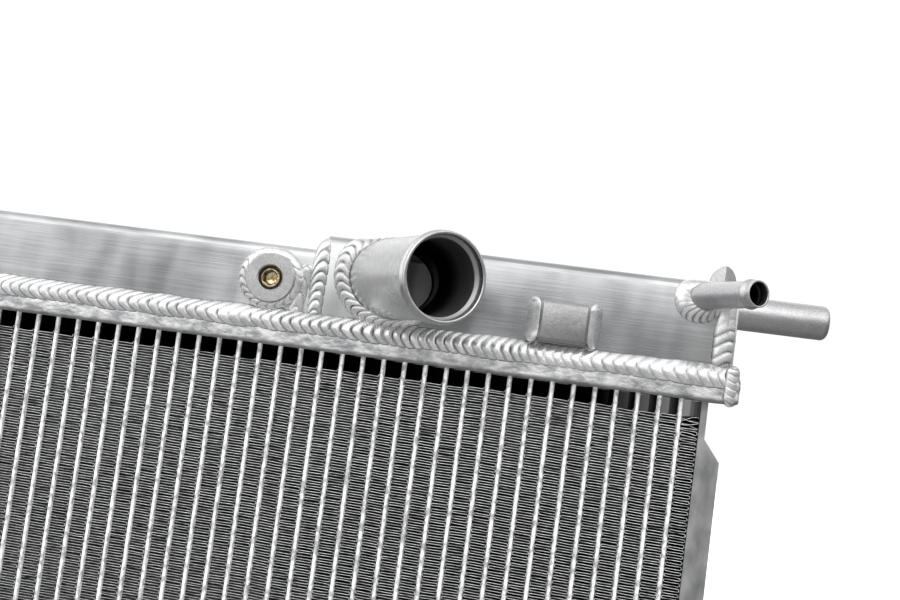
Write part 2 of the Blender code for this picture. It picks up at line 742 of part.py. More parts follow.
def main():
    clear_scene()
    materials = make_materials()
    parts = new_collection("car_radiator")
    cutters = new_collection("cutters")
    make_tubes(parts, materials["tube_aluminium"])
    make_header("upper_header", True, parts, cutters, materials["header_aluminium"])
    make_header("lower_header", False, parts, cutters, materials["header_aluminium"])
    make_tanks(parts, cutters, materials["tank_aluminium"])
    make_end_caps(parts, materials["tank_aluminium"])
    make_side_channel("side_channel_right", 1, parts, cutters, materials["channel_aluminium"])
    make_side_channel("side_channel_left", -1, parts, cutters, materials["channel_aluminium"])
    make_necks(parts, cutters, materials)
    make_bung(parts, materials["fitting_aluminium"])
    make_plug(parts, cutters, materials["brass"])
    make_ring(parts, materials["rubber"])
    make_block(parts, materials["fitting_aluminium"])
    make_pegs(parts, materials["fitting_aluminium"])
    make_corner_lug(parts, cutters, materials["fitting_aluminium"])
    bpy.context.view_layer.update()


main()
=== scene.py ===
"""The looks of a welded aluminium car radiator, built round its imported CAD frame.

The CAD nodes keep their shapes and get brushed, brazed and cast metal materials. This script adds what
they leave out: the foil air fins, every weld bead with its ripples, and finer turned hose necks,
nipple and plug. Lengths are in metres, in the frame's own axes: +X along the tanks, -Y to the front.
"""

import math

import bmesh
import bpy
import numpy as np
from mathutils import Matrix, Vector


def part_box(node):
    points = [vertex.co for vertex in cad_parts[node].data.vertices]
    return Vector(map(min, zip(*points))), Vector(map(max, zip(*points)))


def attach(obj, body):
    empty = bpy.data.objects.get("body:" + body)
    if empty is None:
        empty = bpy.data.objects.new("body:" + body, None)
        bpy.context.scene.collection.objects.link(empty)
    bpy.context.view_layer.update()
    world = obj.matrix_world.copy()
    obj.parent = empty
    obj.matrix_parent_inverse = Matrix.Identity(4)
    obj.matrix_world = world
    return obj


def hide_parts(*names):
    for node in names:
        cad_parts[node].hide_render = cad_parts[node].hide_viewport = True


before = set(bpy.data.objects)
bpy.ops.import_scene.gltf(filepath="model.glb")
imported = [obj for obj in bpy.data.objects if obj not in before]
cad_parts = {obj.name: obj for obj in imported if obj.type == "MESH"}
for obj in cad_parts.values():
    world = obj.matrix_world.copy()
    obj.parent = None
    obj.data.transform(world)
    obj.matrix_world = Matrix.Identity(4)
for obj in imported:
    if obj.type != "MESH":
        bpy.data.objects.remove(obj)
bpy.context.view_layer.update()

MM = 0.001

# Where the CAD nodes are
HEADER_LOW, HEADER_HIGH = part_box("upper_header")
LOWER_HEADER_LOW, LOWER_HEADER_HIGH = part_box("lower_header")
MAIN_LOW, MAIN_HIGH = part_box("upper_tank_main")
SIDE_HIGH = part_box("upper_tank_side_chamber")[1]
LOWER_LOW, LOWER_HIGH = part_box("lower_tank")
STEP_LOW, STEP_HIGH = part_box("tank_step_plate")
BUNG_LOW, BUNG_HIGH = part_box("plug_bung")
PLUG_LOW, PLUG_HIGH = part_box("brass_plug")
BLOCK_LOW, BLOCK_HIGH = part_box("mounting_block")
TUBE_LOW, TUBE_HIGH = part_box("tube_01")
NEXT_TUBE_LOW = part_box("tube_02")[0]
TUBE_COUNT = sum(name.startswith("tube_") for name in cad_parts)
FRONT_Y = MAIN_LOW.y
CAP_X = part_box("upper_end_cap_right")[1].x
TANK_CORNER = 4.0 * MM
SKIN = 1.2 * MM
TANK_BOW_FROM, TANK_BOW_TO = 414 * MM, 442 * MM
BLOCK_BEVEL = 1.1 * MM

# Air fins
TUBE_PITCH = NEXT_TUBE_LOW.x - TUBE_LOW.x
TUBE_THICKNESS = TUBE_HIGH.x - TUBE_LOW.x
FIN_HALF_WIDTH = (TUBE_PITCH - TUBE_THICKNESS) / 2
FIN_LEG_PITCH = 1.252 * MM
FIN_FOIL = 0.15 * MM
FIN_TOP_GAP = 7.6 * MM
FIN_TOP_UNEVEN = 0.9 * MM
FIN_INSET = 0.2 * MM
FIN_WAVE = 1.3 * MM
LEG_JITTER = 0.045 * MM
LEG_PAIRING = 0.07 * MM
LEG_SAG = 0.05 * MM
LEG_SLOPE, LEG_SLOPE_SPREAD = 0.03, 0.012
BEND_REACH = 0.62 * MM
BEND_REACH_SPREAD = 0.06 * MM
FIN_DEPTH_ROWS = 7
CRUSHED_LEGS = 12

# Hose necks: the point where each axis meets the tank's front, and where the axis points
INLET_AT = Vector((36.2 * MM, FRONT_Y, 426.1 * MM))
INLET_ANGLE = math.radians(33.0)
INLET_LENGTH = 50.0 * MM
OUTLET_AT = Vector((-140.0 * MM, FRONT_Y, 24.4 * MM))
OUTLET_LENGTH = 42.0 * MM
NECK_RADIUS = 19.0 * MM
NECK_WALL = 1.7 * MM
NECK_BEAD_RISE = 1.6 * MM
NECK_LIP_RADIUS = 20.2 * MM
NECK_HOLE = (18.2 * MM, 18.4 * MM)
NIPPLE_AT = Vector((177.2 * MM, FRONT_Y, 435.5 * MM))
NIPPLE_ANGLE = math.radians(31.5)
NIPPLE_RISE = math.radians(1.6)
NIPPLE_LENGTH = 37.5 * MM
NIPPLE_RADIUS = 6.0 * MM
NIPPLE_WALL = 0.9 * MM
NIPPLE_BEAD_RISE = 0.95 * MM
TUBE_SIDES = 144

# Bung and plug
BUNG_CENTRE = (BUNG_LOW + BUNG_HIGH) / 2
BUNG_RADIUS = (BUNG_HIGH.x - BUNG_LOW.x) / 2
PLUG_SHANK = (PLUG_HIGH.x - PLUG_LOW.x) / 2
PLUG_HEAD = 4.45 * MM
PLUG_HEAD_LENGTH = 1.7 * MM
THREAD_PITCH = 1.0 * MM
THREAD_STEPS = 64
PLUG_SIDES = 96
SOCKET_FLATS = 6.0 * MM
SOCKET_DEPTH = 4.0 * MM

# Welds
FINE_STEP = 0.24 * MM
COARSE_STEP = 0.4 * MM
WELD_COLUMNS = 19
WELD_SINK = 0.25 * MM
WELD_DOME = 2.3
# Welds are ground flat under the radiator's base, and stand out of it by this much.
WELD_STAND_OFF = 0.2 * MM
GROOVE_WIDTH = 0.66 * MM
END_WELD_WIDTH = 9.8 * MM
END_WELD_ON_CAP = 4.6 * MM
PEG_WELD_WIDTH = 3.4 * MM
PEG_WELD_STEPS = 72
FILLET_STEPS = 120

# The room seen in the metal: (share of the way from straight down to straight up, grey)
ROOM_LEVELS = (
    (0.0, 0.15), (0.36, 0.17), (0.49, 0.18), (0.535, 0.21), (0.61, 0.36),
    (0.70, 0.95), (0.81, 1.0), (0.92, 0.62), (1.0, 0.45),
)
ROOM_STRENGTH = 2.15
WHITE_STRENGTH = 1.05

# Stage
FLOOR_REACH = 6.0
FLOOR_Z = -0.5 * MM
# The height of the dark card that paints the shadow above the fins.
SHADOW_CARD_HEIGHT = 11.0 * MM
LAMPS_AIM = (0.0, 0.0, 0.35)

# Camera
CAMERA_AT = (0.103878, -0.547576, 0.384019)
CAMERA_TURN = (93.920, -7.494, 3.971)
CAMERA_LENS = 45.10
SENSOR_WIDTH = 36.0


# ---------------- meshes


def link(name, mesh, body="radiator", material=None, smooth=True, sharp=40.0):
    """Makes an object of a mesh, gives it its finish and lets it ride on a CAD body."""
    if material is not None:
        mesh.materials.append(material)
    if smooth:
        mesh.shade_smooth()
        mesh.set_sharp_from_angle(angle=math.radians(sharp))
    piece = bpy.data.objects.new(name, mesh)
    bpy.context.scene.collection.objects.link(piece)
    if body is not None:
        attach(piece, body)
    return piece


def quads_of(rows, columns, closed_rows, closed_columns):
    """The corner numbers of the quads of a grid of rows and columns."""
    r = np.arange(rows if closed_rows else rows - 1)
    c = np.arange(columns if closed_columns else columns - 1)
    r, c = np.meshgrid(r, c, indexing="ij")
    r_next, c_next = (r + 1) % rows, (c + 1) % columns
    corners = [r * columns + c, r * columns + c_next, r_next * columns + c_next]
    corners.append(r_next * columns + c)
    return np.stack(corners, axis=-1).reshape(-1, 4)


def grid_mesh(name, points, closed_rows=False, closed_columns=True, caps=True, flip=False):
    """A mesh through rows of points. Closed columns make each row a ring, and caps fill its ends."""
    points = np.asarray(points, float)
    rows, columns = points.shape[:2]
    faces = quads_of(rows, columns, closed_rows, closed_columns).tolist()
    if caps and closed_columns and not closed_rows:
        faces.append(list(range(columns))[::-1])
        faces.append(list(range((rows - 1) * columns, rows * columns)))
    if flip:
        faces = [face[::-1] for face in faces]
    mesh = bpy.data.meshes.new(name)
    mesh.from_pydata(points.reshape(-1, 3).tolist(), [], faces)
    mesh.validate()
    mesh.update()
    return mesh


def store(mesh, name, values):
    """Keeps one number for each vertex, for a material to read."""
    attribute = mesh.attributes.new(name, "FLOAT", "POINT")
    attribute.data.foreach_set("value", np.asarray(values, np.float32).ravel())


def smooth_noise(rng, positions, spacing):
    """Smooth random values between -1 and 1 along a line, with a knot at each spacing."""
    share = (positions - positions.min()) / spacing
    knots = rng.uniform(-1.0, 1.0, int(share.max()) + 3)
    low = share.astype(int)
    ease = share - low
    ease = ease * ease * (3 - 2 * ease)
    return knots[low] * (1 - ease) + knots[low + 1] * ease


def uneven(rng, positions, amount, spacing):
    """A factor that wanders smoothly round 1 by up to the amount."""
    return 1.0 + amount * smooth_noise(rng, positions, spacing)


def unit(vectors):
    """The vectors at a length of 1."""
    vectors = np.asarray(vectors, float)
    return vectors / np.linalg.norm(vectors, axis=-1, keepdims=True)


# ---------------- materials


class Tree:
    """A short way to write a node tree."""

    def __init__(self, tree):
        self.tree = tree

    def add(self, kind, **settings):
        node = self.tree.nodes.new(kind)
        for key, value in settings.items():
            setattr(node, key, value)
        return node

    def join(self, source, target):
        self.tree.links.new(source, target)

    def feed(self, socket, value):
        """Sets a socket to a number or an (r, g, b), or joins an output to it."""
        if isinstance(value, (int, float)):
            socket.default_value = value
        elif isinstance(value, tuple):
            socket.default_value = (*value, 1.0)
        else:
            self.join(value, socket)

    def ramp(self, value, low, high, to_low=0.0, to_high=1.0):
        """Maps low..high of a value to to_low..to_high, without going past them."""
        node = self.add("ShaderNodeMapRange")
        keys = ("From Min", "From Max", "To Min", "To Max")
        for key, number in zip(keys, (low, high, to_low, to_high)):
            node.inputs[key].default_value = number
        self.join(value, node.inputs["Value"])
        return node.outputs["Result"]

    def maths(self, operation, first, second=0.0):
        node = self.add("ShaderNodeMath", operation=operation)
        self.feed(node.inputs[0], first)
        self.feed(node.inputs[1], second)
        return node.outputs["Value"]

    def times(self, first, second):
        return self.maths("MULTIPLY", first, second)

    def plus(self, first, second):
        return self.maths("ADD", first, second)

    def most(self, first, second):
        return self.maths("MAXIMUM", first, second)

    def mix(self, share, first, second):
        """A colour between two colours. Each may be an (r, g, b) or an output."""
        node = self.add("ShaderNodeMix", data_type="RGBA")
        self.join(share, node.inputs["Factor"])
        self.feed(node.inputs[6], first)
        self.feed(node.inputs[7], second)
        return node.outputs[2]


class Nodes(Tree):
    """One material's nodes, in the frame's real-size coordinates."""

    def __init__(self, name):
        self.material = bpy.data.materials.new(name)
        self.material.use_nodes = True
        super().__init__(self.material.node_tree)
        self.shader = self.tree.nodes["Principled BSDF"]
        self.place = self.add("ShaderNodeTexCoord").outputs["Object"]

    def noise(self, scale, stretch=(1, 1, 1), detail=3.0, rough=0.5, turn=(0, 0, 0)):
        """Noise with its scale in cycles per metre."""
        mapping = self.add("ShaderNodeMapping")
        mapping.inputs["Scale"].default_value = stretch
        mapping.inputs["Rotation"].default_value = turn
        self.join(self.place, mapping.inputs["Vector"])
        node = self.add("ShaderNodeTexNoise")
        for key, number in (("Scale", scale), ("Detail", detail), ("Roughness", rough)):
            node.inputs[key].default_value = number
        self.join(mapping.outputs["Vector"], node.inputs["Vector"])
        return node.outputs["Fac"]

    def bump(self, *layers):
        """Stacks (height, distance in metres) layers of bump and joins them to the shader."""
        normal = None
        for height, distance in layers:
            node = self.add("ShaderNodeBump")
            node.inputs["Distance"].default_value = distance
            self.join(height, node.inputs["Height"])
            if normal is not None:
                self.join(normal, node.inputs["Normal"])
            normal = node.outputs["Normal"]
        self.join(normal, self.shader.inputs["Normal"])

    def attribute(self, name):
        return self.add("ShaderNodeAttribute", attribute_name=name).outputs["Fac"]

    def part(self, axis):
        """One of the place's coordinates, in metres."""
        node = self.add("ShaderNodeSeparateXYZ")
        self.join(self.place, node.inputs["Vector"])
        return node.outputs[axis]

    def nearness(self, centre, near, far):
        """1 within the near distance of a point, and 0 beyond the far one."""
        node = self.add("ShaderNodeVectorMath", operation="DISTANCE")
        node.inputs[1].default_value = centre
        self.join(self.place, node.inputs[0])
        return self.ramp(node.outputs["Value"], near, far, 1.0, 0.0)

    def finish(self, colour, roughness, metallic=1.0):
        """Joins or sets the shader's colour, roughness and metallic share."""
        self.feed(self.shader.inputs["Base Color"], colour)
        self.feed(self.shader.inputs["Roughness"], roughness)
        self.feed(self.shader.inputs["Metallic"], metallic)
        return self.material


def tank_material():
    """Sheet aluminium, brushed along the tank, bowed at its top and rubbed beside its welds.

    Its inner faces are painted pale as painted light for the dim inside, and dark as painted shade in the
    necks' holes.
    """
    n = Nodes("tank_sheet")
    length, depth, height = n.part("X"), n.part("Y"), n.part("Z")
    grain = n.noise(1.0, (38, 2200, 2200), detail=4.0)
    cloud = n.noise(20.0, (1.5, 1.0, 0.55), detail=2.0)
    fine = n.noise(2600.0, detail=2.0)
    rubbed = n.noise(1.0, (2300, 2300, 90), turn=(0, math.radians(38.0), 0))
    near_bung = n.nearness((BUNG_CENTRE.x, FRONT_Y, BUNG_CENTRE.z), 13 * MM, 34 * MM)
    near_neck = n.nearness((24 * MM, FRONT_Y, 414 * MM), 16 * MM, 30 * MM)
    near = n.most(near_bung, near_neck)
    bow = n.maths("POWER", n.ramp(height, TANK_BOW_FROM, TANK_BOW_TO), 2.0)
    bow = n.maths("SUBTRACT", 1.0, bow)
    bow = n.times(bow, n.ramp(length, -4 * MM, 4 * MM, 0.3, 1.0))
    patches = n.plus(n.ramp(cloud, 0.36, 0.64, -0.45, 0.35), n.ramp(near, 0.0, 1.0, 0.0, 0.8))
    tone = n.plus(n.ramp(grain, 0.3, 0.7, 0.0, 0.7), patches)
    metal = n.mix(tone, (0.42, 0.425, 0.435), (0.66, 0.665, 0.67))
    # Inside the tank: its inner faces are painted pale as painted light, since little light reaches them.
    inner_side = n.maths("LESS_THAN", n.maths("ABSOLUTE", depth), -FRONT_Y - SKIN)
    inner_top = n.ramp(length, 0.0, 1.0 * MM, SIDE_HIGH.z - SKIN, MAIN_HIGH.z - SKIN)
    below_top = n.maths("LESS_THAN", height, inner_top)
    above_low = n.maths("GREATER_THAN", height, LOWER_LOW.z + SKIN)
    # Painted shade: the inner faces seen through the hose necks' holes are painted near black.
    inlet_hole_shade = n.nearness((INLET_AT.x + 3.3 * MM, FRONT_Y, INLET_AT.z), *NECK_HOLE)
    outlet_hole_shade = n.nearness(OUTLET_AT, *NECK_HOLE)
    hole_shade = n.most(inlet_hole_shade, outlet_hole_shade)
    inside = n.most(n.times(inner_side, n.times(below_top, above_low)), hole_shade)
    colour = n.mix(inside, metal, n.mix(hole_shade, (0.92, 0.92, 0.925), (0.03, 0.03, 0.03)))
    satin = n.plus(n.ramp(cloud, 0.35, 0.7, 0.25, 0.38), n.ramp(grain, 0.3, 0.7, -0.03, 0.04))
    rough = n.most(satin, n.ramp(inside, 0.0, 1.0, 0.0, 0.42))
    rubs = n.times(near, rubbed)
    n.bump((bow, 2.4 * MM), (cloud, 5.0 * MM), (grain, 0.022 * MM), (rubs, 0.12 * MM), (fine, 0.012 * MM))
    return n.finish(colour, rough)


def header_material():
    """The pressed header after brazing: whitish, blotchy and rough, with painted shade along its edge
    next to the core.
    """
    n = Nodes("header_brazed")
    blotch = n.noise(150.0, (1, 1, 1.8), detail=6.0, rough=0.62)
    grit = n.noise(1500.0, rough=0.6)
    plain = n.mix(n.ramp(blotch, 0.36, 0.62), (0.40, 0.405, 0.415), (0.90, 0.90, 0.90))
    # Painted shade: the header's edge next to the core, over the fins, is painted dark.
    half_core = (HEADER_LOW.z - LOWER_HEADER_HIGH.z) / 2
    from_middle = n.maths("SUBTRACT", n.part("Z"), half_core + LOWER_HEADER_HIGH.z)
    from_middle = n.maths("ABSOLUTE", from_middle)
    lip = n.ramp(from_middle, half_core + 1.0 * MM, half_core + 2.2 * MM, 1.0, 0.0)
    colour = n.mix(n.times(lip, 0.75), plain, (0.16, 0.16, 0.165))
    n.bump((blotch, 0.9 * MM), (grit, 0.12 * MM))
    return n.finish(colour, n.ramp(blotch, 0.3, 0.7, 0.34, 0.55), metallic=0.85)


def weld_material():
    """Bright cast filler metal, with soot and painted shade in the grooves and painted shade on the
    ripples' steep sides.
    """
    n = Nodes("weld_bead")
    groove = n.attribute("groove")
    skin = n.noise(800.0, rough=0.6)
    lumps = n.noise(260.0)
    cloud = n.noise(70.0)
    # Soot and painted shade, read from the groove attribute, darken the metal.
    dark = n.times(groove, n.ramp(cloud, 0.35, 0.6, 0.7, 1.0))
    plain = n.mix(n.ramp(cloud, 0.38, 0.64), (0.66, 0.665, 0.67), (0.92, 0.92, 0.92))
    colour = n.mix(dark, plain, (0.07, 0.07, 0.073))
    rough = n.plus(n.ramp(skin, 0.3, 0.7, 0.17, 0.27), n.ramp(groove, 0.0, 1.0, 0.0, 0.25))
    n.bump((lumps, 0.16 * MM), (skin, 0.012 * MM))
    return n.finish(colour, rough, metallic=0.8)


def neck_material():
    """Turned tube: soft and satin outside, with painted shade in its bore, darkest at its root."""
    n = Nodes("neck_turned")
    bore = n.attribute("bore")
    cloud = n.noise(55.0)
    fine = n.noise(1800.0, detail=2.0)
    streak = n.noise(1.0, (2000, 260, 260), turn=(0, 0, INLET_ANGLE + math.pi / 2))
    metal = n.mix(n.ramp(streak, 0.3, 0.7), (0.58, 0.585, 0.59), (0.76, 0.76, 0.765))
    # Painted shade in the bore, near black by its root at the tank.
    root = n.nearness((INLET_AT.x + 6.0 * MM, FRONT_Y - 5.0 * MM, INLET_AT.z), 21.0 * MM, 29.0 * MM)
    colour = n.mix(bore, metal, n.mix(root, (0.45, 0.45, 0.455), (0.03, 0.03, 0.03)))
    n.bump((cloud, 0.5 * MM), (streak, 0.025 * MM), (fine, 0.015 * MM))
    return n.finish(colour, n.most(n.ramp(cloud, 0.3, 0.7, 0.22, 0.36), n.ramp(bore, 0.0, 1.0, 0.0, 0.5)))


def fitting_material(name, low, high):
    """Machined and sawn fittings: grainy, between a low and a high grey, with painted shade in a bore."""
    n = Nodes(name)
    bore = n.attribute("bore")
    grain = n.noise(1100.0, detail=4.0, rough=0.65)
    cloud = n.noise(90.0)
    metal = n.mix(n.ramp(grain, 0.25, 0.75), (low, low, low * 1.02), (high, high, high * 1.01))
    # Painted shade in a bore.
    colour = n.mix(bore, metal, (0.05, 0.05, 0.052))
    n.bump((cloud, 0.4 * MM), (grain, 0.09 * MM))
    return n.finish(colour, n.ramp(cloud, 0.3, 0.7, 0.32, 0.46))


def channel_material():
    """The side channels' plain sheet, faintly mottled."""
    n = Nodes("channel_sheet")
    mottle = n.noise(160.0, (1, 1, 0.5), detail=4.0)
    grain = n.noise(1.0, (1800, 1800, 60))
    colour = n.mix(n.ramp(mottle, 0.3, 0.7), (0.40, 0.405, 0.41), (0.62, 0.62, 0.625))
    n.bump((mottle, 0.25 * MM), (grain, 0.02 * MM))
    return n.finish(colour, n.ramp(mottle, 0.3, 0.7, 0.34, 0.5))


def tube_material():
    """Flat tubes with the thin uneven skin of braze on their noses, and flat sides painted dark as shade
    deep in the core.
    """
    n = Nodes("tube_brazed")
    lumps = n.noise(430.0, (1, 1, 0.7), rough=0.6)
    depth = n.maths("ABSOLUTE", n.part("Y"))
    unshaded_nose = n.ramp(depth, TUBE_HIGH.y - 2.0 * MM, TUBE_HIGH.y - 0.8 * MM)
    bright = n.mix(n.ramp(lumps, 0.36, 0.56), (0.38, 0.38, 0.39), (0.95, 0.95, 0.95))
    # Painted shade: the flat sides deep in the core are painted near black.
    colour = n.mix(unshaded_nose, (0.05, 0.05, 0.052), bright)
    n.bump((lumps, 0.9 * MM))
    return n.finish(colour, n.ramp(lumps, 0.3, 0.7, 0.34, 0.55), n.ramp(unshaded_nose, 0.0, 1.0, 1.0, 0.35))


def fin_material(front_y, back_y):
    """Foil with bright cut edges at the front and back, and faces deep in the core painted near black as
    shade.
    """
    n = Nodes("fin_foil")
    depth = n.part("Y")
    near_front = n.ramp(depth, front_y + 0.1 * MM, front_y + 0.5 * MM, 1.0, 0.0)
    near_back = n.ramp(depth, back_y - 0.5 * MM, back_y - 0.1 * MM)
    edge = n.most(near_front, near_back)
    spots = n.noise(330.0)
    bright = n.mix(n.ramp(spots, 0.35, 0.65), (0.62, 0.62, 0.63), (1.0, 1.0, 1.0))
    # Painted shade: away from its cut edges the foil is painted near black.
    colour = n.mix(edge, (0.007, 0.007, 0.0072), bright)
    n.bump((spots, 0.15 * MM))
    return n.finish(colour, 0.42, n.ramp(edge, 0.0, 1.0, 1.0, 0.25))


def brass_material():
    """Turned brass, with its socket's walls painted dark as shade."""
    n = Nodes("plug_brass")
    cloud = n.noise(500.0)
    fine = n.noise(3000.0, detail=2.0)
    plain = n.mix(n.ramp(cloud, 0.36, 0.62), (0.50, 0.33, 0.12), (1.0, 0.88, 0.62))
    # Painted shade on the socket's walls.
    colour = n.mix(n.attribute("wall"), plain, (0.05, 0.03, 0.012))
    n.bump((cloud, 0.25 * MM), (fine, 0.02 * MM))
    return n.finish(colour, n.ramp(cloud, 0.3, 0.7, 0.12, 0.24))


def rubber_material():
    """Dull black rubber."""
    n = Nodes("ring_rubber")
    fine = n.noise(2500.0)
    colour = n.mix(fine, (0.010, 0.010, 0.011), (0.025, 0.025, 0.027))
    n.bump((fine, 0.02 * MM))
    return n.finish(colour, n.ramp(fine, 0.3, 0.7, 0.4, 0.6), metallic=0.0)


def floor_material():
    """A plain pale floor that glows a little, so that it stays pale away from the lamps."""
    n = Nodes("floor_pale")
    wide = n.noise(3.0, detail=2.0)
    n.feed(n.shader.inputs["Emission Color"], (1.0, 1.0, 1.0))
    n.feed(n.shader.inputs["Emission Strength"], 0.75)
    return n.finish(n.mix(wide, (0.86, 0.86, 0.86), (0.83, 0.83, 0.83)), 0.7, metallic=0.0)


def painted_shadow_card_material():
    """Painted shadow behind the open row: black, glowing paler towards the right end as painted light."""
    n = Nodes("painted_shadow_card")
    share = n.ramp(n.part("X"), 140 * MM, 182 * MM)
    n.feed(n.shader.inputs["Emission Color"], (1.0, 1.0, 1.0))
    # Painted light: the card glows paler towards the right end.
    n.feed(n.shader.inputs["Emission Strength"], n.times(n.maths("POWER", share, 1.5), 0.22))
    return n.finish((0.02, 0.02, 0.02), 0.9, metallic=0.0)


# ---------------- CAD nodes


def smoothing_group():
    """Joins each CAD mesh's triangles and shades it smooth, but for its sharp edges."""
    group = bpy.data.node_groups.new("smooth_round_faces", "GeometryNodeTree")
    for way in ("INPUT", "OUTPUT"):
        group.interface.new_socket("Geometry", in_out=way, socket_type="NodeSocketGeometry")
    n = Tree(group)
    merge = n.add("GeometryNodeMergeByDistance")
    merge.inputs["Distance"].default_value = 0.005 * MM
    forget = n.add("GeometryNodeRemoveAttribute")
    forget.inputs["Name"].default_value = "custom_normal"
    soft = n.add("GeometryNodeSetShadeSmooth", domain="FACE")
    sharp = n.add("GeometryNodeSetShadeSmooth", domain="EDGE")
    sharp.inputs["Shade Smooth"].default_value = False
    steep = n.add("FunctionNodeCompare", operation="GREATER_THAN")
    steep.inputs["B"].default_value = math.radians(38.0)
    n.join(n.add("GeometryNodeInputMeshEdgeAngle").outputs["Unsigned Angle"], steep.inputs["A"])
    n.join(steep.outputs["Result"], sharp.inputs["Selection"])
    chain = (n.add("NodeGroupInput"), merge, forget, soft, sharp, n.add("NodeGroupOutput"))
    for before, after in zip(chain, chain[1:]):
        n.join(before.outputs["Geometry"], after.inputs["Geometry"])
    return group


def dress_nodes(materials):
    """Gives every CAD node the material for its slot, and smooth shading. The block gets worn edges."""
    group = smoothing_group()
    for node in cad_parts.values():
        name = node.material_slots[0].material.name.split(".")[0]
        node.material_slots[0].material = materials[name]
        node.modifiers.new("smooth", "NODES").node_group = group
    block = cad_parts["mounting_block"]
    block.material_slots[0].material = fitting_material("block_sawn", 0.38, 0.60)
    bevel = block.modifiers.new("edges", "BEVEL")
    bevel.width = BLOCK_BEVEL
    bevel.segments = 2


# ---------------- fins


def foil_line(rng, top, bottom, crushed):
    """The serpentine centreline of one strip, as (x, z) points from the top cut end down.

    Its legs sag, slope and vary a little. The top legs of a crushed strip are bent out of line.
    """
    legs = int((top - bottom) / FIN_LEG_PITCH)
    order = np.arange(legs + 1)
    half = FIN_HALF_WIDTH
    levels = top - FIN_LEG_PITCH * order
    levels = levels + rng.normal(0.0, LEG_JITTER, legs + 1)
    slope = rng.normal(LEG_SLOPE, LEG_SLOPE_SPREAD) + rng.normal(0.0, LEG_SLOPE_SPREAD, legs + 1)
    levels = levels + LEG_PAIRING * (order % 2)
    sag = rng.normal(0.0, LEG_SAG, legs + 1)
    reach = half - BEND_REACH + rng.normal(0.0, BEND_REACH_SPREAD, legs + 1)
    if crushed:
        crush = np.clip(1.0 - order / CRUSHED_LEGS, 0.0, 1.0)
        levels = levels + crush * rng.normal(0.0, 0.35 * MM, legs + 1) - crush * 1.2 * MM
        slope = slope + crush * rng.normal(0.0, 0.16, legs + 1)
        sag = sag + crush * rng.normal(0.0, 0.5 * MM, legs + 1)
    points = [(half - 0.05 * MM, levels[0] + 1.0 * MM), (half - 0.3 * MM, levels[0] + 0.75 * MM)]
    for leg in range(legs):
        side = 1 if leg % 2 == 0 else -1
        z, far = levels[leg], side * reach[leg]
        before = z + far * slope[leg]
        points += [(far, z - far * slope[leg]), (0.1 * far, z + sag[leg]), (-far, before)]
        if leg < legs - 1:
            after = levels[leg + 1] + side * reach[leg + 1] * slope[leg + 1]
            middle = (before + after) / 2
            shoulder, crest = -side * (half - 0.22 * MM), -side * (half - 0.03 * MM)
            points.append((shoulder, (before + middle) / 2))
            points.append((crest, middle))
            points.append((shoulder, (after + middle) / 2))
    return np.array(points)


def foil_mesh(name, centre_x, line, front_y, back_y, rng):
    """A foil of even thickness along the line, waved through the depth of the core."""
    ahead = np.gradient(line, axis=0)
    offset = unit(np.stack([-ahead[:, 1], ahead[:, 0]], axis=1)) * FIN_FOIL / 2
    ring = np.concatenate([line + offset, (line - offset)[::-1]])
    trim = np.abs(rng.normal(0.0, 0.12 * MM, len(line)))
    trim = np.concatenate([trim, trim[::-1]])
    last = FIN_DEPTH_ROWS - 1
    rows = []
    for row, depth in enumerate(np.linspace(front_y, back_y, FIN_DEPTH_ROWS)):
        y = depth + trim * {0: 1, last: -1}.get(row, 0)
        rows.append(np.column_stack([centre_x + ring[:, 0], y, ring[:, 1] - FIN_WAVE * (row % 2)]))
    i = np.arange(len(line) - 1)
    front = np.stack([i, i + 1, len(ring) - 2 - i, len(ring) - 1 - i], axis=1)
    back = front[:, ::-1] + last * len(ring)
    sides = quads_of(FIN_DEPTH_ROWS, len(ring), False, True)[:, ::-1]
    mesh = bpy.data.meshes.new(name)
    mesh.from_pydata(np.concatenate(rows).tolist(), [], np.concatenate([sides, front, back]).tolist())
    mesh.update()
    face_out(mesh)
    return mesh


def make_fins():
    """One strip of foil beside every tube: one more strip than there are tubes."""
    front_y, back_y = TUBE_LOW.y + FIN_INSET, TUBE_HIGH.y - FIN_INSET
    material = fin_material(front_y, back_y)
    first_x = TUBE_LOW.x - FIN_HALF_WIDTH
    for index in range(TUBE_COUNT + 1):
        rng = np.random.default_rng(100 + index)
        top = HEADER_LOW.z - FIN_TOP_GAP - rng.uniform(0.0, FIN_TOP_UNEVEN)
        bottom = LOWER_HEADER_HIGH.z + FIN_TOP_GAP
        crushed = index == TUBE_COUNT
        line = foil_line(rng, top, bottom, crushed)
        name = f"fin_strip_{index + 1:02d}"
        mesh = foil_mesh(name, first_x + index * TUBE_PITCH, line, front_y, back_y, rng)
        link(name, mesh, material=material, sharp=60.0)


# ---------------- welds


def resample(guides, closed, step):
    """The guide lines with even steps along the weld, and the distance along it."""
    rows = np.concatenate(guides, axis=1)
    if closed:
        rows = np.concatenate([rows, rows[:1]])
    middle = (rows[:, 0:3] + rows[:, 3:6]) / 2
    lengths = np.linalg.norm(np.diff(middle, axis=0), axis=1)
    distance = np.concatenate([[0.0], np.cumsum(lengths)])
    count = max(16, round(distance[-1] / step))
    at = np.linspace(0.0, distance[-1], count + 1)
    rows = np.stack([np.interp(at, distance, column) for column in rows.T], axis=1)
    if closed:
        rows, at = rows[:-1], at[:-1]
    return rows[:, 0:3], rows[:, 3:6], rows[:, 6:9], at


def along(axis, stops, scale):
    """A setting that changes along an axis, by (place in mm, value) stops."""
    places, values = zip(*stops)

    def value(middle):
        return scale * np.interp(middle[:, axis] / MM, places, values)

    return value


def along_x(*stops, scale=1.0):
    return along(0, stops, scale)


def along_z(*stops, scale=1.0):
    return along(2, stops, scale)


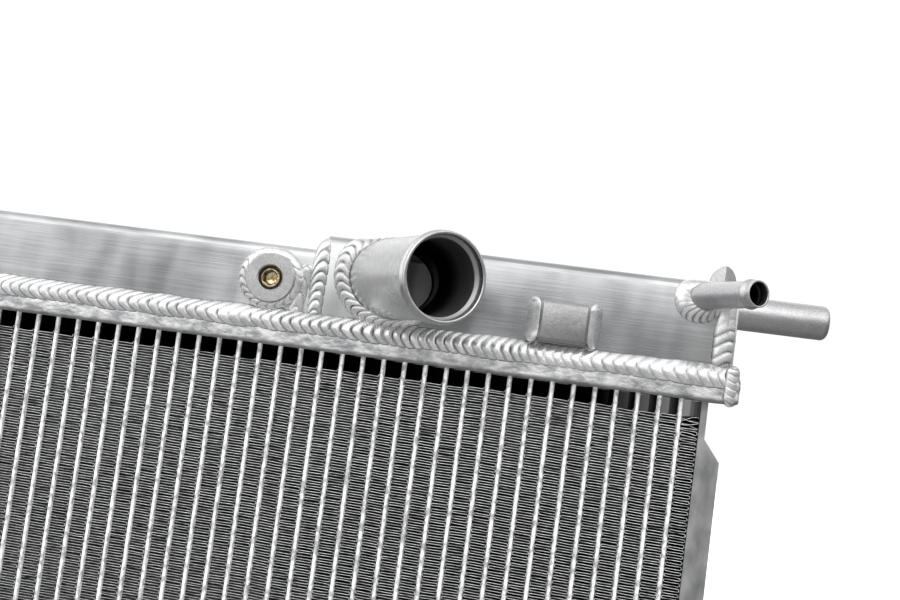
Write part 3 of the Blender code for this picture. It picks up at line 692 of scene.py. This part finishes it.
def value_at(setting, middle):
    """A setting's value at each point: it's a number or a function of the points."""
    return setting(middle) if callable(setting) else np.full(len(middle), float(setting))


def dimes(at, pitch, u, arch, skew, closed, rng):
    """The ripple that each point of a bead lies on, and how far it is across that ripple."""
    pace = 1.0 / (pitch * uneven(rng, at, 0.14, 14.0 * MM))
    turns = np.concatenate([[0.0], np.cumsum(np.diff(at) * (pace[1:] + pace[:-1]) / 2)])
    total = max(1, round(turns[-1]))
    if closed:
        turns = turns / turns[-1] * total * (len(at) - 1) / len(at)
    phase = turns[:, None] + arch * (1.0 - u**2) + skew * u
    number = np.floor(phase).astype(int)
    share = phase - number
    number = number % total if closed else number - number.min()
    return number, share


def end_taper(at, width):
    """The share of its full width and height that an open bead has: it rounds off at each end."""
    from_end = np.minimum(at, at[-1] - at) / np.minimum(width, at[-1] / 2)
    return np.sqrt(np.clip(1.0 - (1.0 - np.clip(from_end, 0.0, 1.0)) ** 2, 0.0009, 1.0))


def groove_soot_and_shade(rng, number, share, pitch, calm, u):
    """How dark each point is, 0 to 1: soot and painted shade in grooves, painted shade on steep sides,
    dark edges.
    """
    calm = np.clip(calm, 0.0, 1.0)[:, None]
    ripples = number.max() + 1
    shade = rng.uniform(0.6, 1.15, ripples)[number]
    tone = rng.uniform(0.0, 0.3, ripples)[number] * calm
    from_groove = np.minimum(share, 1.0 - share) * pitch[:, None]
    # Soot and painted shade in the grooves.
    groove = np.exp(-((from_groove / GROOVE_WIDTH) ** 2)) * calm
    # Painted shade on each ripple's steep side.
    flank_shade = 0.68 * np.clip(1.0 - share / 0.38, 0.0, 1.0) * calm
    soot_and_shade = np.maximum(np.maximum(groove, flank_shade) * shade, tone)
    # A dark line along the bead's edges.
    edge = np.clip((np.abs(u) - 0.88) / 0.1, 0.0, 1.0)
    return np.maximum(soot_and_shade * (1.0 - 0.2 * np.abs(u)), edge)


def bead(
    name,
    guides,
    material,
    crown,
    pitch=4.4 * MM,
    ripple=0.6 * MM,
    seed=1,
    closed=False,
    arch=0.7,
    skew=0.0,
    calm=1.0,
    step=FINE_STEP,
    soot_and_shade=1.0,
):
    """A weld bead between two edge lines, with overlapping round ripples.

    Guides are the first edge, the second edge and the line that the bead's back follows. Crown is
    its height over that line. Arch bends the ripples in the middle, and skew drags one edge. Crown,
    pitch and calm may be numbers or functions of the middle line. Calm is the share of full ripple.
    """
    rng = np.random.default_rng(seed)
    first, second, back, at = resample(guides, closed, step)
    middle = (first + second) / 2
    outward = unit(back - middle)
    half = (second - first) / 2 * uneven(rng, at, 0.09, 9.0 * MM)[:, None]
    u = -np.cos(np.linspace(0.0, math.pi, WELD_COLUMNS))
    calm_here = value_at(calm, middle) * uneven(rng, at, 0.15, 11.0 * MM)
    pitch_here = value_at(pitch, middle)
    number, share = dimes(at, pitch_here, u, arch, skew, closed, rng)
    size = rng.uniform(0.75, 1.35, number.max() + 1)[number]
    lobe = ripple_shape(share)
    relief = ripple * calm_here[:, None] * size * (lobe - 0.6) * (1.0 - u**2) ** 0.3
    crown_here = value_at(crown, middle) * uneven(rng, at, 0.1, 7.0 * MM)
    rise = np.linalg.norm(back - middle, axis=1) + crown_here
    taper = np.ones(len(at)) if closed else end_taper(at, np.linalg.norm(half, axis=1))
    dome = (1.0 - np.abs(u) ** WELD_DOME) ** 0.85
    height = (rise[:, None] * dome + relief) * taper[:, None] - WELD_SINK
    scallop = 1.0 + 0.07 * calm_here[:, None] * (lobe - 0.5) * np.abs(u) ** 4
    across = (taper[:, None] * u * scallop)[..., None] * half[:, None]
    top = middle[:, None] + across + outward[:, None] * height[..., None]
    under_u = np.array([0.6, -0.6])
    under = middle[:, None] + (taper[:, None] * under_u)[..., None] * half[:, None]
    under = under - outward[:, None] * (2.5 * WELD_SINK * taper)[:, None, None]
    points = np.concatenate([top, under], axis=1)
    points[..., 2] = np.maximum(points[..., 2], LOWER_LOW.z - WELD_STAND_OFF)
    mesh = grid_mesh(name, points, closed_rows=closed, flip=True)
    # How dark each point is from soot and painted shade, for the material to read.
    dark = groove_soot_and_shade(rng, number, share, pitch_here, calm_here, u) * soot_and_shade
    dark_under = np.zeros((len(at), len(under_u)))
    store(mesh, "groove", np.concatenate([np.clip(dark, 0.0, 1.0), dark_under], axis=1))
    face_out(mesh)
    return link(name, mesh, material=material, sharp=80.0)


def ripple_shape(share):
    """One ripple's height: it climbs steeply out of a groove and falls slowly to the next."""
    swung = share**0.7
    return np.sqrt(np.clip(1.0 - np.abs(2.0 * swung - 1.0) ** 2.6, 0.0, 1.0))


def face_out(mesh):
    """Turns a closed mesh's faces to point outwards, by the sign of its volume."""
    mesh.calc_loop_triangles()
    corners = np.empty(len(mesh.loop_triangles) * 3, np.int32)
    mesh.loop_triangles.foreach_get("vertices", corners)
    places = np.empty(len(mesh.vertices) * 3, np.float32)
    mesh.vertices.foreach_get("co", places)
    triangles = places.reshape(-1, 3)[corners.reshape(-1, 3)].astype(float)
    triangles = triangles - triangles.mean(axis=(0, 1))
    volume = np.einsum("ij,ij->", triangles[:, 0], np.cross(triangles[:, 1], triangles[:, 2]))
    if volume < 0:
        mesh.flip_normals()


def rounded_loop(half_x, half_y, radius, z, side_points=24):
    """A level rounded rectangle as points, with as many on each side and corner for any size."""
    corners = ((1, 1), (-1, 1), (-1, -1), (1, -1))
    arcs = []
    for number, (sign_x, sign_y) in enumerate(corners):
        angles = np.radians(90 * number + np.arange(0, 91, 15))
        x = sign_x * (half_x - radius) + radius * np.cos(angles)
        y = sign_y * (half_y - radius) + radius * np.sin(angles)
        arcs.append(np.column_stack([x, y, np.full(len(x), z)]))
    points = []
    for here, after in zip(arcs, arcs[1:] + arcs[:1]):
        share = np.linspace(0.0, 1.0, side_points + 2)[1:-1, None]
        points += [here, here[-1] * (1 - share) + after[0] * share]
    return np.concatenate(points)


def header_weld(name, end_x, side_y, lip_z, away, material, seed, **settings):
    """The bead that joins a header's lip to its tank, all round. Away is +1 or -1 along Z."""
    outset, inset = 0.05 * MM, 0.5 * MM
    low = rounded_loop(end_x + outset, side_y + outset, 3.0 * MM, lip_z - 1.0 * MM * away)
    high = rounded_loop(CAP_X, -FRONT_Y, 1.2 * MM, lip_z + 9.6 * MM * away)
    back = rounded_loop(end_x - inset, side_y - 0.4 * MM, 3.0 * MM, lip_z + 4.3 * MM * away)
    return bead(name, (low, high, back), material, seed=seed, closed=True, **settings)


def tank_surface(x, along, top, away=1.0):
    """The place and normal on a tank's outside, a distance up its front and over its corner.

    Along is the height reached on the flat front; more goes round the corner and back over the top.
    """
    flat_top = top - away * TANK_CORNER
    extra = np.maximum((along - flat_top) * away, 0.0)
    turn = np.minimum(extra / TANK_CORNER, math.pi / 2)
    over = np.maximum(extra - TANK_CORNER * math.pi / 2, 0.0)
    y = FRONT_Y + TANK_CORNER * (1.0 - np.cos(turn)) + over
    rise = TANK_CORNER * np.sin(turn)
    z = np.where(extra > 0, flat_top + away * rise, along)
    normal = np.column_stack([np.zeros(len(turn)), -np.cos(turn), away * np.sin(turn)])
    return np.column_stack([np.broadcast_to(x, z.shape), y, z]), normal


def over_tank(knots, x, top, low, away=1.0):
    """A line up a tank's front, over its top and down its back.

    Knots from 0 to 5 run through front, corner, top, corner and back, with 1 for each.
    """
    corner = TANK_CORNER * math.pi / 2
    rise = abs(top - low) - TANK_CORNER
    across = 2 * (-FRONT_Y - TANK_CORNER)
    reaches = np.cumsum([0.0, rise, corner, across, corner, rise])
    distance = np.interp(knots, np.arange(6), reaches)
    half = reaches[-1] / 2
    mirrored = np.minimum(distance, 2 * half - distance)
    points, normal = tank_surface(x, low + away * mirrored, top, away)
    flip = np.where(distance > half, -1.0, 1.0)
    points[:, 1] *= flip
    normal[:, 1] *= flip
    return points, normal


def end_weld(name, side, top, low, away, material, seed):
    """The bead over the outer edge between a tank's shell and its end cap."""
    knots = np.linspace(0.0, 5.0, FILLET_STEPS + 1)
    shell, normal = over_tank(knots, side * (CAP_X - END_WELD_WIDTH), top, low, away)
    edge, _ = over_tank(knots, side * CAP_X, top, low, away)
    outer = edge - normal * END_WELD_ON_CAP
    back = edge + normal * 0.5 * MM
    back = 0.5 * back + 0.5 * (shell + outer) / 2 + normal * 1.5 * MM - np.array([side * 0.2 * MM, 0, 0])
    return bead(
        name,
        (shell, outer, back),
        material,
        crown=along_z((401, 0.6), (408, 1.0), (420, 1.5), (440, 1.2), scale=0.6 * MM),
        pitch=5.2 * MM,
        ripple=0.8 * MM,
        seed=seed,
        arch=-0.9,
        calm=along_z((400, 1.2), (418, 1.2), (424, 0.2), (440, 0.15)),
    )


def fillet(centre, axis, radius, on_face, up_tube, top, start):
    """Guides of a fillet where a round tube leaves a tank's front, wrapped over the tank's corner.

    On_face is its width on the tank for (degrees, mm) stops, 0 being +X and 90 being up. Start is
    where its seam lies, in degrees too.
    """
    axis = np.array(axis, float)
    degrees = start + np.linspace(0.0, 360.0, FILLET_STEPS + 1)[:-1]
    sweep = np.radians(degrees)
    places, widths = zip(*on_face)
    reach = np.interp(degrees % 360.0, places, widths, period=360.0) * MM
    lean = 1.0 / -axis[1]
    x, z = radius * lean * np.cos(sweep), radius * np.sin(sweep)
    root = np.array(centre) + np.column_stack([x, np.zeros(len(x)), z])
    out = unit(np.column_stack([np.cos(sweep) / lean, np.zeros(len(x)), np.sin(sweep)]))
    flat = root + out * reach[:, None]
    low, normal = tank_surface(flat[:, 0], flat[:, 2], top)
    high = root + axis * up_tube
    radial = root - np.array(centre)
    radial = unit(radial - (radial @ axis)[:, None] * axis)
    back = (low + high) / 2 + unit(normal + radial) * 0.3 * MM
    return low, high, back


def straight_guides(z, *places):
    """Guides that run straight through the heights z, each at its own (x, y)."""
    return [np.column_stack([np.full(len(z), x), np.full(len(z), y), z]) for x, y in places]


def front_axis(angle, rise=0.0):
    """The way out of the tank's front, turned towards +X and up by two angles."""
    level = math.cos(rise)
    return (level * math.sin(angle), -level * math.cos(angle), math.sin(rise))


def make_welds(material):
    """Every weld bead on the radiator."""
    make_header_welds(material)
    upper_low, lower_low = HEADER_HIGH.z + 6.0 * MM, LOWER_HEADER_LOW.z - 6.0 * MM
    end_weld("upper_end_weld_right", 1, MAIN_HIGH.z, upper_low, 1, material, 21)
    end_weld("upper_end_weld_left", -1, SIDE_HIGH.z, upper_low, 1, material, 22)
    end_weld("lower_end_weld_right", 1, LOWER_LOW.z, lower_low, -1, material, 23)
    end_weld("lower_end_weld_left", -1, LOWER_LOW.z, lower_low, -1, material, 24)
    make_neck_welds(material)
    make_bung_weld(material)
    make_joint_weld(material)
    make_header_corner_weld(material)
    make_block_welds(material)
    make_peg_welds(material)


def make_header_welds(material):
    """The long beads. The upper one is flatter under the block and calmer under the bung and block."""
    high = ((-200, 1.8), (100, 1.7), (108, 0.8), (126, 0.8))
    high_end = ((134, 2.1), (185, 1.8), (191, 0.2), (200, 0.0))
    paces = ((-200, 5.0), (-40, 4.8), (60, 4.4), (125, 4.6), (140, 5.3), (200, 5.6))
    by_bung = ((-200, 1.0), (-48, 1.0), (-40, 0.6), (-28, 0.75), (-10, 1.0))
    by_block = ((100, 1.0), (108, 0.5), (126, 0.5), (132, 0.6), (200, 0.75))
    header_weld(
        "upper_header_weld", HEADER_HIGH.x, HEADER_HIGH.y, HEADER_HIGH.z, 1, material, 11,
        crown=along_x(*high, *high_end, scale=MM), pitch=along_x(*paces, scale=MM),
        ripple=1.5 * MM, arch=1.15, skew=-0.2, calm=along_x(*by_bung, *by_block),
    )
    header_weld(
        "lower_header_weld", LOWER_HEADER_HIGH.x, LOWER_HEADER_HIGH.y, LOWER_HEADER_LOW.z, -1,
        material, 12, crown=1.1 * MM, ripple=0.7 * MM, arch=0.95, step=COARSE_STEP,
    )


def make_neck_welds(material):
    """The fillets round the two hose necks and the bleed nipple."""
    widths = ((0, 3.0), (60, 4.0), (90, 4.5), (120, 6.0))
    widths += ((180, 6.6), (230, 5.6), (270, 4.4), (320, 3.2))
    axis = front_axis(INLET_ANGLE)
    guides = fillet(INLET_AT, axis, NECK_RADIUS, widths, 3.6 * MM, MAIN_HIGH.z, 70.0)
    ripples = along_x((10, 1.2), (36, 1.1), (46, 0.3), (70, 0.2))
    bead("inlet_neck_weld", guides, material, 0.9 * MM, 4.3 * MM, 0.95 * MM, 31, True,
         arch=0.95, calm=ripples)
    even = ((0, 4.6), (180, 4.8))
    guides = fillet(OUTLET_AT, front_axis(0.0), NECK_RADIUS, even, 3.8 * MM, LOWER_HIGH.z, 60.0)
    bead("outlet_neck_weld", guides, material, 0.9 * MM, 4.2 * MM, 0.8 * MM, 32, True, arch=0.8)
    blob = ((0, 3.2), (90, 3.4), (180, 5.2), (240, 6.4), (290, 6.4), (330, 3.6))
    axis = front_axis(NIPPLE_ANGLE, NIPPLE_RISE)
    guides = fillet(NIPPLE_AT, axis, NIPPLE_RADIUS, blob, 3.8 * MM, MAIN_HIGH.z, 120.0)
    ripples = along_z((420, 1.3), (428, 1.1), (432, 0.15), (450, 0.15))
    bead("bleed_nipple_weld", guides, material, 1.0 * MM, 3.0 * MM, 0.8 * MM, 33, True,
         arch=0.7, calm=ripples)


def make_bung_weld(material):
    """The fillet round the bung, and the pool that joins it to the tanks' joint."""
    centre = (BUNG_CENTRE.x, FRONT_Y, BUNG_CENTRE.z)
    widths = ((0, 4.2), (45, 3.8), (90, 3.4), (180, 4.4), (270, 3.2), (320, 3.4))
    guides = fillet(centre, front_axis(0.0), BUNG_RADIUS, widths, 2.6 * MM, SIDE_HIGH.z, 110.0)
    lower = along_z((405, 1.1), (424, 1.1), (429, 0.3), (440, 0.15))
    left = along_x((-40, 0.9), (-28, 0.9), (-12, 0.5), (-5, 0.3))

    def ripples(middle):
        return lower(middle) * left(middle)

    bead("bung_weld", guides, material, 0.7 * MM, 4.0 * MM, 0.7 * MM, 34, True,
         arch=0.8, calm=ripples)
    z = np.linspace(428.0, 402.0, 12) * MM
    x = np.linspace(-5.4, -8.6, 12) * MM
    low, _ = tank_surface(x - 3.6 * MM, z, SIDE_HIGH.z)
    high, normal = tank_surface(x + 3.4 * MM, z, SIDE_HIGH.z)
    back = (low + high) / 2 + normal * 0.3 * MM
    bead("bung_weld_pool", (low, high, back), material, 0.7 * MM, 6.2 * MM, 0.45 * MM, 41, arch=0.9)


def make_joint_weld(material):
    """The bead between the two upper tank shells: up the front, over the step and down the back."""
    x = (STEP_LOW.x + STEP_HIGH.x) / 2
    low = HEADER_HIGH.z + 7.0 * MM
    knots = np.linspace(0.0, 5.0, 161)
    side, side_normal = over_tank(knots, x - 4.0 * MM, SIDE_HIGH.z, low)
    main, main_normal = over_tank(knots, x + 3.2 * MM, MAIN_HIGH.z, low)
    across = unit(main - side)
    facing = side_normal + main_normal
    facing = unit(facing - np.sum(facing * across, axis=1, keepdims=True) * across)
    back = (side + main) / 2 + facing * 0.6 * MM
    ripples = along_z((400, 1.2), (426, 1.2), (433, 0.5), (440, 0.3))
    bead("tank_joint_weld", (side, main, back), material, 0.9 * MM, 4.7 * MM, 1.0 * MM, 35,
         arch=-0.85, calm=ripples)


def make_header_corner_weld(material):
    """A short bead down the header's front corner, at the right end."""
    x, y = HEADER_HIGH.x, HEADER_LOW.y
    places = (
        (x - 7.2 * MM, y - 0.1 * MM),
        (x - 0.4 * MM, y + 3.6 * MM),
        (x - 2.6 * MM, y - 0.3 * MM),
    )
    guides = straight_guides(np.linspace(406.0, 387.0, 24) * MM, *places)
    bead("header_corner_weld", guides, material, 0.3 * MM, 3.4 * MM, 0.7 * MM, 36,
         arch=-0.6, calm=0.8)


def make_block_welds(material):
    """A bead down each side of the mounting block."""
    z = np.linspace(BLOCK_LOW.z - 1.2 * MM, BLOCK_HIGH.z + 1.6 * MM, 24)
    ripples = along_z((404, 0.15), (418, 0.25), (430, 0.8))
    for side, x, name in ((-1, BLOCK_LOW.x, "block_weld_left"), (1, BLOCK_HIGH.x, "block_weld_right")):
        places = (
            (x + side * 6.2 * MM, FRONT_Y),
            (x, FRONT_Y - 8.2 * MM),
            (x + side * 3.6 * MM, FRONT_Y - 4.6 * MM),
        )
        bead(name, straight_guides(z, *places), material, 0.5 * MM, 5.0 * MM, 0.5 * MM, 51 + side,
             arch=0.5, calm=ripples, soot_and_shade=0.4)


def make_peg_welds(material):
    """A fillet round each mounting peg, where it leaves its end cap."""
    sweep = np.radians(np.linspace(90.0, 450.0, PEG_WELD_STEPS + 1)[:-1])
    away = np.column_stack([np.zeros(PEG_WELD_STEPS), np.cos(sweep), np.sin(sweep)])
    for name in ("upper_peg_right", "upper_peg_left", "lower_peg_right", "lower_peg_left"):
        low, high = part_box(name)
        side = np.array([1.0 if low.x > 0 else -1.0, 0.0, 0.0])
        centre = side * CAP_X + np.array([0.0, (low.y + high.y) / 2, (low.z + high.z) / 2])
        radius = (high.z - low.z) / 2
        outer = centre + away * (radius + PEG_WELD_WIDTH)
        inner = centre + away * radius + side * PEG_WELD_WIDTH
        back = (outer + inner) / 2 + (away + side) * 0.2 * MM
        bead(name + "_weld", (outer, inner, back), material, 0.5 * MM, 3.4 * MM, 0.6 * MM,
             60 + len(name), True, arch=0.7, step=COARSE_STEP)


# ---------------- turned pieces


def turn_mesh(name, profile, axis_at, axis, sides, root_y=None):
    """A closed ring profile of (radius, height) turned round an axis.

    Where root_y is given, points with a height of None are cut off on that plane.
    """
    turn = Vector(axis).to_track_quat("Z", "Y").to_matrix()
    x_way, y_way, z_way = (np.array(turn.col[i]) for i in range(3))
    base = np.array(axis_at)
    rows = []
    for i in range(sides):
        angle = 2 * math.pi * i / sides
        radial = x_way * math.cos(angle) + y_way * math.sin(angle)
        row = []
        for radius, height in profile:
            if height is None:
                height = (root_y - base[1] - radial[1] * radius) / z_way[1]
            row.append(base + radial * radius + z_way * height)
        rows.append(row)
    mesh = grid_mesh(name, rows, closed_rows=True)
    face_out(mesh)
    return mesh


def rounded_corner(across, up, radius, start):
    """Profile points round a quarter of a circle, outside the bore, from a start angle in degrees."""
    points = []
    for i in range(6):
        angle = math.radians(start + 18.0 * i)
        points.append((across + radius * math.cos(angle), up + radius * math.sin(angle), 0))
    return points


def hose_profile(radius, wall, rise, length, bead_length, lip_radius, lip_length):
    """A hose tube from its root to its mouth and back inside, with a rolled bead and a short lip.

    Each point is a radius, a height and 1 where it belongs to the bore, where the materials paint shade.
    """
    bore, lip_bore = radius - wall, lip_radius - wall
    edge = 0.45 * wall
    bead_top = length - lip_length
    bead_low = bead_top - bead_length
    points = [(radius, None, 0), (radius, bead_low - 0.6 * MM, 0)]
    for i in range(13):
        share = i / 12
        lift = rise * math.sin(math.pi * share) ** 0.7
        level = radius + (lip_radius - radius) * share
        points.append((level + lift * (1.0 - 0.6 * share), bead_low + bead_length * share, 0))
    points.append((lip_radius - 0.25 * MM, bead_top + 0.15 * lip_length, 0))
    points += rounded_corner(lip_radius - edge, length - edge, edge, 0)
    points += rounded_corner(lip_bore + edge, length - edge, edge, 90)
    points.append((lip_bore, bead_top + 0.4 * lip_length, 0.3))
    for i in range(9):
        share = i / 8
        dip = 0.7 * rise * math.sin(math.pi * share) ** 0.7
        level = lip_bore + (bore - lip_bore) * share
        points.append((level + dip, bead_top - bead_length * share, 0.35 + 0.65 * share))
    points += [(bore, bead_low - 0.6 * MM, 1), (bore, bead_low - 2.0 * MM, 1), (bore, None, 1)]
    return points


def make_hose_tubes(neck_metal, fitting_metal):
    """The two hose necks and the bleed nipple, in place of their plainer CAD nodes."""
    hose = (NECK_RADIUS, NECK_WALL, NECK_BEAD_RISE)
    small = (NIPPLE_RADIUS, NIPPLE_WALL, NIPPLE_BEAD_RISE)
    lips = {
        "neck": (3.2 * MM, NECK_LIP_RADIUS, 2.4 * MM),
        "fitting": (3.0 * MM, NIPPLE_RADIUS, 3.2 * MM),
    }
    nipple_axis = front_axis(NIPPLE_ANGLE, NIPPLE_RISE)
    rows = (
        ("inlet_neck", INLET_AT, front_axis(INLET_ANGLE), hose, INLET_LENGTH, "neck", neck_metal),
        ("outlet_neck", OUTLET_AT, front_axis(0.0), hose, OUTLET_LENGTH, "neck", neck_metal),
        ("bleed_nipple", NIPPLE_AT, nipple_axis, small, NIPPLE_LENGTH, "fitting", fitting_metal),
    )
    for node, at, axis, (radius, wall, rise), length, kind, metal in rows:
        bead_length, lip_radius, lip_length = lips[kind]
        profile = hose_profile(radius, wall, rise, length, bead_length, lip_radius, lip_length)
        outline = [point[:2] for point in profile]
        mesh = turn_mesh(node + "_tube", outline, at, axis, TUBE_SIDES, FRONT_Y + 0.4 * MM)
        # The bore's share, which the materials paint in shade.
        store(mesh, "bore", np.tile([point[2] for point in profile], TUBE_SIDES))
        piece = link(node + "_tube", mesh, material=metal, sharp=50.0)
        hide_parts(node)


def plug_profile(angle):
    """The plug's (radius, height) points on one angle: socket, head, thread and end."""
    shank_top = -PLUG_HEAD_LENGTH
    shank_end = -(PLUG_HIGH.y - PLUG_LOW.y)
    chamfer = 0.35 * MM
    flat = SOCKET_FLATS / 2
    hexagon = flat / math.cos((angle + math.pi / 6) % (math.pi / 3) - math.pi / 6)
    row = [(0.0, -SOCKET_DEPTH - 1.0 * MM), (flat * 0.8, -SOCKET_DEPTH)]
    row += [(hexagon, -SOCKET_DEPTH), (hexagon, -0.5 * MM), (flat * 1.22, 0.0)]
    row += [(PLUG_HEAD - chamfer, 0.0), (PLUG_HEAD, -chamfer), (PLUG_HEAD, shank_top)]
    row.append((PLUG_SHANK - 0.6 * MM, shank_top))
    for step in range(THREAD_STEPS + 1):
        down = (shank_end + 0.6 * MM - shank_top) * step / THREAD_STEPS
        height = shank_top - 0.3 * MM + down
        wave = abs(((height / THREAD_PITCH - angle / (2 * math.pi)) % 1.0) * 2 - 1)
        run = min(1.0, step / 6, (THREAD_STEPS - step) / 6)
        row.append((PLUG_SHANK - 0.05 * MM - 0.5 * MM * (1 - wave * run), height))
    return row + [(PLUG_SHANK - 0.9 * MM, shank_end), (0.0, shank_end)]


def make_plug(material):
    """The brass plug with its thread, and a chamfered hexagon socket with a drilled bottom."""
    name = "plug_detail"
    rows = []
    for i in range(PLUG_SIDES):
        angle = 2 * math.pi * i / PLUG_SIDES
        row = plug_profile(angle)
        rows.append([(r * math.cos(angle), r * math.sin(angle), h) for r, h in row])
    turn = Vector((0, -1, 0)).to_track_quat("Z", "Y").to_matrix()
    face = np.array([BUNG_CENTRE.x, PLUG_LOW.y, BUNG_CENTRE.z])
    points = np.array(rows) @ np.array(turn).T + face
    mesh = grid_mesh(name, points, closed_rows=True, closed_columns=False)
    # The socket's walls, which the material paints in shade.
    socket_wall_shade = [0, 0, 1, 1] + [0] * (points.shape[1] - 4)
    store(mesh, "wall", np.tile(socket_wall_shade, PLUG_SIDES))
    merge_close(mesh)
    face_out(mesh)
    piece = link(name, mesh, body="plug", material=material, sharp=28.0)
    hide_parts("brass_plug")


def merge_close(mesh):
    """Joins the vertices that a turned shape has at its poles."""
    work = bmesh.new()
    work.from_mesh(mesh)
    bmesh.ops.remove_doubles(work, verts=work.verts, dist=1e-7)
    work.to_mesh(mesh)
    work.free()


# ---------------- stage


def add_light(name, at, size, power):
    """A soft lamp aimed at the radiator, which the camera and the metal's reflections don't show."""
    light = bpy.data.lights.new(name, "AREA")
    light.shape = "RECTANGLE"
    light.size, light.size_y = size
    light.energy = power
    lamp = bpy.data.objects.new(name, light)
    bpy.context.scene.collection.objects.link(lamp)
    lamp.location = at
    lamp.rotation_euler = (Vector(LAMPS_AIM) - Vector(at)).to_track_quat("-Z", "Y").to_euler()
    lamp.visible_camera = False
    lamp.visible_glossy = False


def make_lights():
    """One wide lamp in front, a narrow one at the left and a fill behind."""
    add_light("softbox_front", (-0.1, -1.1, 1.05), (2.2, 0.9), 6.0)
    add_light("softbox_left", (-1.2, -0.6, 0.8), (0.4, 1.2), 4.0)
    add_light("fill_back", (0.0, 1.2, 1.0), (1.6, 0.8), 5.0)


def room_levels(n, height):
    """The room's grey for each height, from straight down to straight up."""
    levels = n.add("ShaderNodeValToRGB")
    n.join(n.ramp(height, -1.0, 1.0), levels.inputs["Fac"])
    ramp = levels.color_ramp
    ramp.interpolation = "EASE"
    ramp.elements[0].position, ramp.elements[1].position = ROOM_LEVELS[0][0], ROOM_LEVELS[-1][0]
    for position, _ in ROOM_LEVELS[1:-1]:
        ramp.elements.new(position)
    for element, (_, grey) in zip(ramp.elements, ROOM_LEVELS):
        element.color = (grey, grey, grey, 1.0)
    return levels.outputs["Color"]


def make_world():
    """White to the camera, and to all else a room: dark below, bright above, dimmer behind and right.

    A plain screen stands at its left.
    """
    world = bpy.data.worlds.new("studio")
    bpy.context.scene.world = world
    world.use_nodes = True
    world.node_tree.nodes.clear()
    n = Tree(world.node_tree)
    parts = n.add("ShaderNodeSeparateXYZ")
    n.join(n.add("ShaderNodeTexCoord").outputs["Generated"], parts.inputs["Vector"])
    x, y, z = (parts.outputs[axis] for axis in "XYZ")
    screen_share = n.ramp(x, -0.8, -0.3, 1.0, 0.0)
    screen = n.ramp(z, -0.4, 0.05, 0.07, 0.66)
    dimming = n.times(n.ramp(y, -0.3, 0.4, 1.0, 0.6), n.ramp(x, 0.12, 0.6, 1.0, 0.62))
    room, white = n.add("ShaderNodeBackground"), n.add("ShaderNodeBackground")
    n.feed(room.inputs["Color"], n.mix(screen_share, room_levels(n, z), screen))
    n.feed(room.inputs["Strength"], n.times(dimming, ROOM_STRENGTH))
    n.feed(white.inputs["Color"], (1.0, 1.0, 1.0))
    n.feed(white.inputs["Strength"], WHITE_STRENGTH)
    either = n.add("ShaderNodeMixShader")
    n.join(n.add("ShaderNodeLightPath").outputs["Is Camera Ray"], either.inputs[0])
    n.join(room.outputs[0], either.inputs[1])
    n.join(white.outputs[0], either.inputs[2])
    n.join(either.outputs[0], n.add("ShaderNodeOutputWorld").inputs["Surface"])


def add_stage(name, xs, columns, material):
    """A plain sheet of the stage, through each (y, z) of its columns at each x."""
    rows = [[(x, y, z) for x in xs] for y, z in columns]
    mesh = grid_mesh(name, rows, closed_columns=False, caps=False)
    piece = link(name, mesh, body=None, material=material)
    return piece


def make_floor():
    """A wide level floor, just under the radiator's base."""
    steps = np.linspace(-FLOOR_REACH, FLOOR_REACH, 9)
    floor = add_stage("floor", steps, [(y, FLOOR_Z) for y in steps], floor_material())
    floor.visible_glossy = False


def make_painted_shadow_card():
    """A dark card in the open row above the fins, painting the shadow where the core shows no light."""
    reach = TUBE_PITCH - TUBE_LOW.x
    y = TUBE_HIGH.y - 1.5 * MM
    columns = [(y, HEADER_LOW.z - SHADOW_CARD_HEIGHT), (y, HEADER_LOW.z - 0.1 * MM)]
    add_stage("painted_shadow_gap_card", np.linspace(-reach, reach, 25), columns, painted_shadow_card_material())


def make_camera():
    """A camera in front of the upper right corner, close and rolled."""
    camera = bpy.data.objects.new("camera", bpy.data.cameras.new("camera"))
    bpy.context.scene.collection.objects.link(camera)
    camera.location = CAMERA_AT
    camera.rotation_euler = [math.radians(turn) for turn in CAMERA_TURN]
    camera.data.lens = CAMERA_LENS
    camera.data.sensor_width = SENSOR_WIDTH
    bpy.context.scene.camera = camera


# ---------------- all together


def make_materials():
    """The material for each slot that a CAD node may have."""
    return {
        "tube_aluminium": tube_material(),
        "header_aluminium": header_material(),
        "tank_aluminium": tank_material(),
        "neck_aluminium": neck_material(),
        "fitting_aluminium": fitting_material("fitting_satin", 0.50, 0.78),
        "channel_aluminium": channel_material(),
        "weld_aluminium": weld_material(),
        "brass": brass_material(),
        "rubber": rubber_material(),
    }


def main():
    bpy.context.scene.view_settings.view_transform = "Standard"
    materials = make_materials()
    dress_nodes(materials)
    make_fins()
    make_welds(materials["weld_aluminium"])
    make_hose_tubes(materials["neck_aluminium"], materials["fitting_aluminium"])
    make_plug(materials["brass"])
    make_world()
    make_floor()
    make_painted_shadow_card()
    make_lights()
    make_camera()


main()
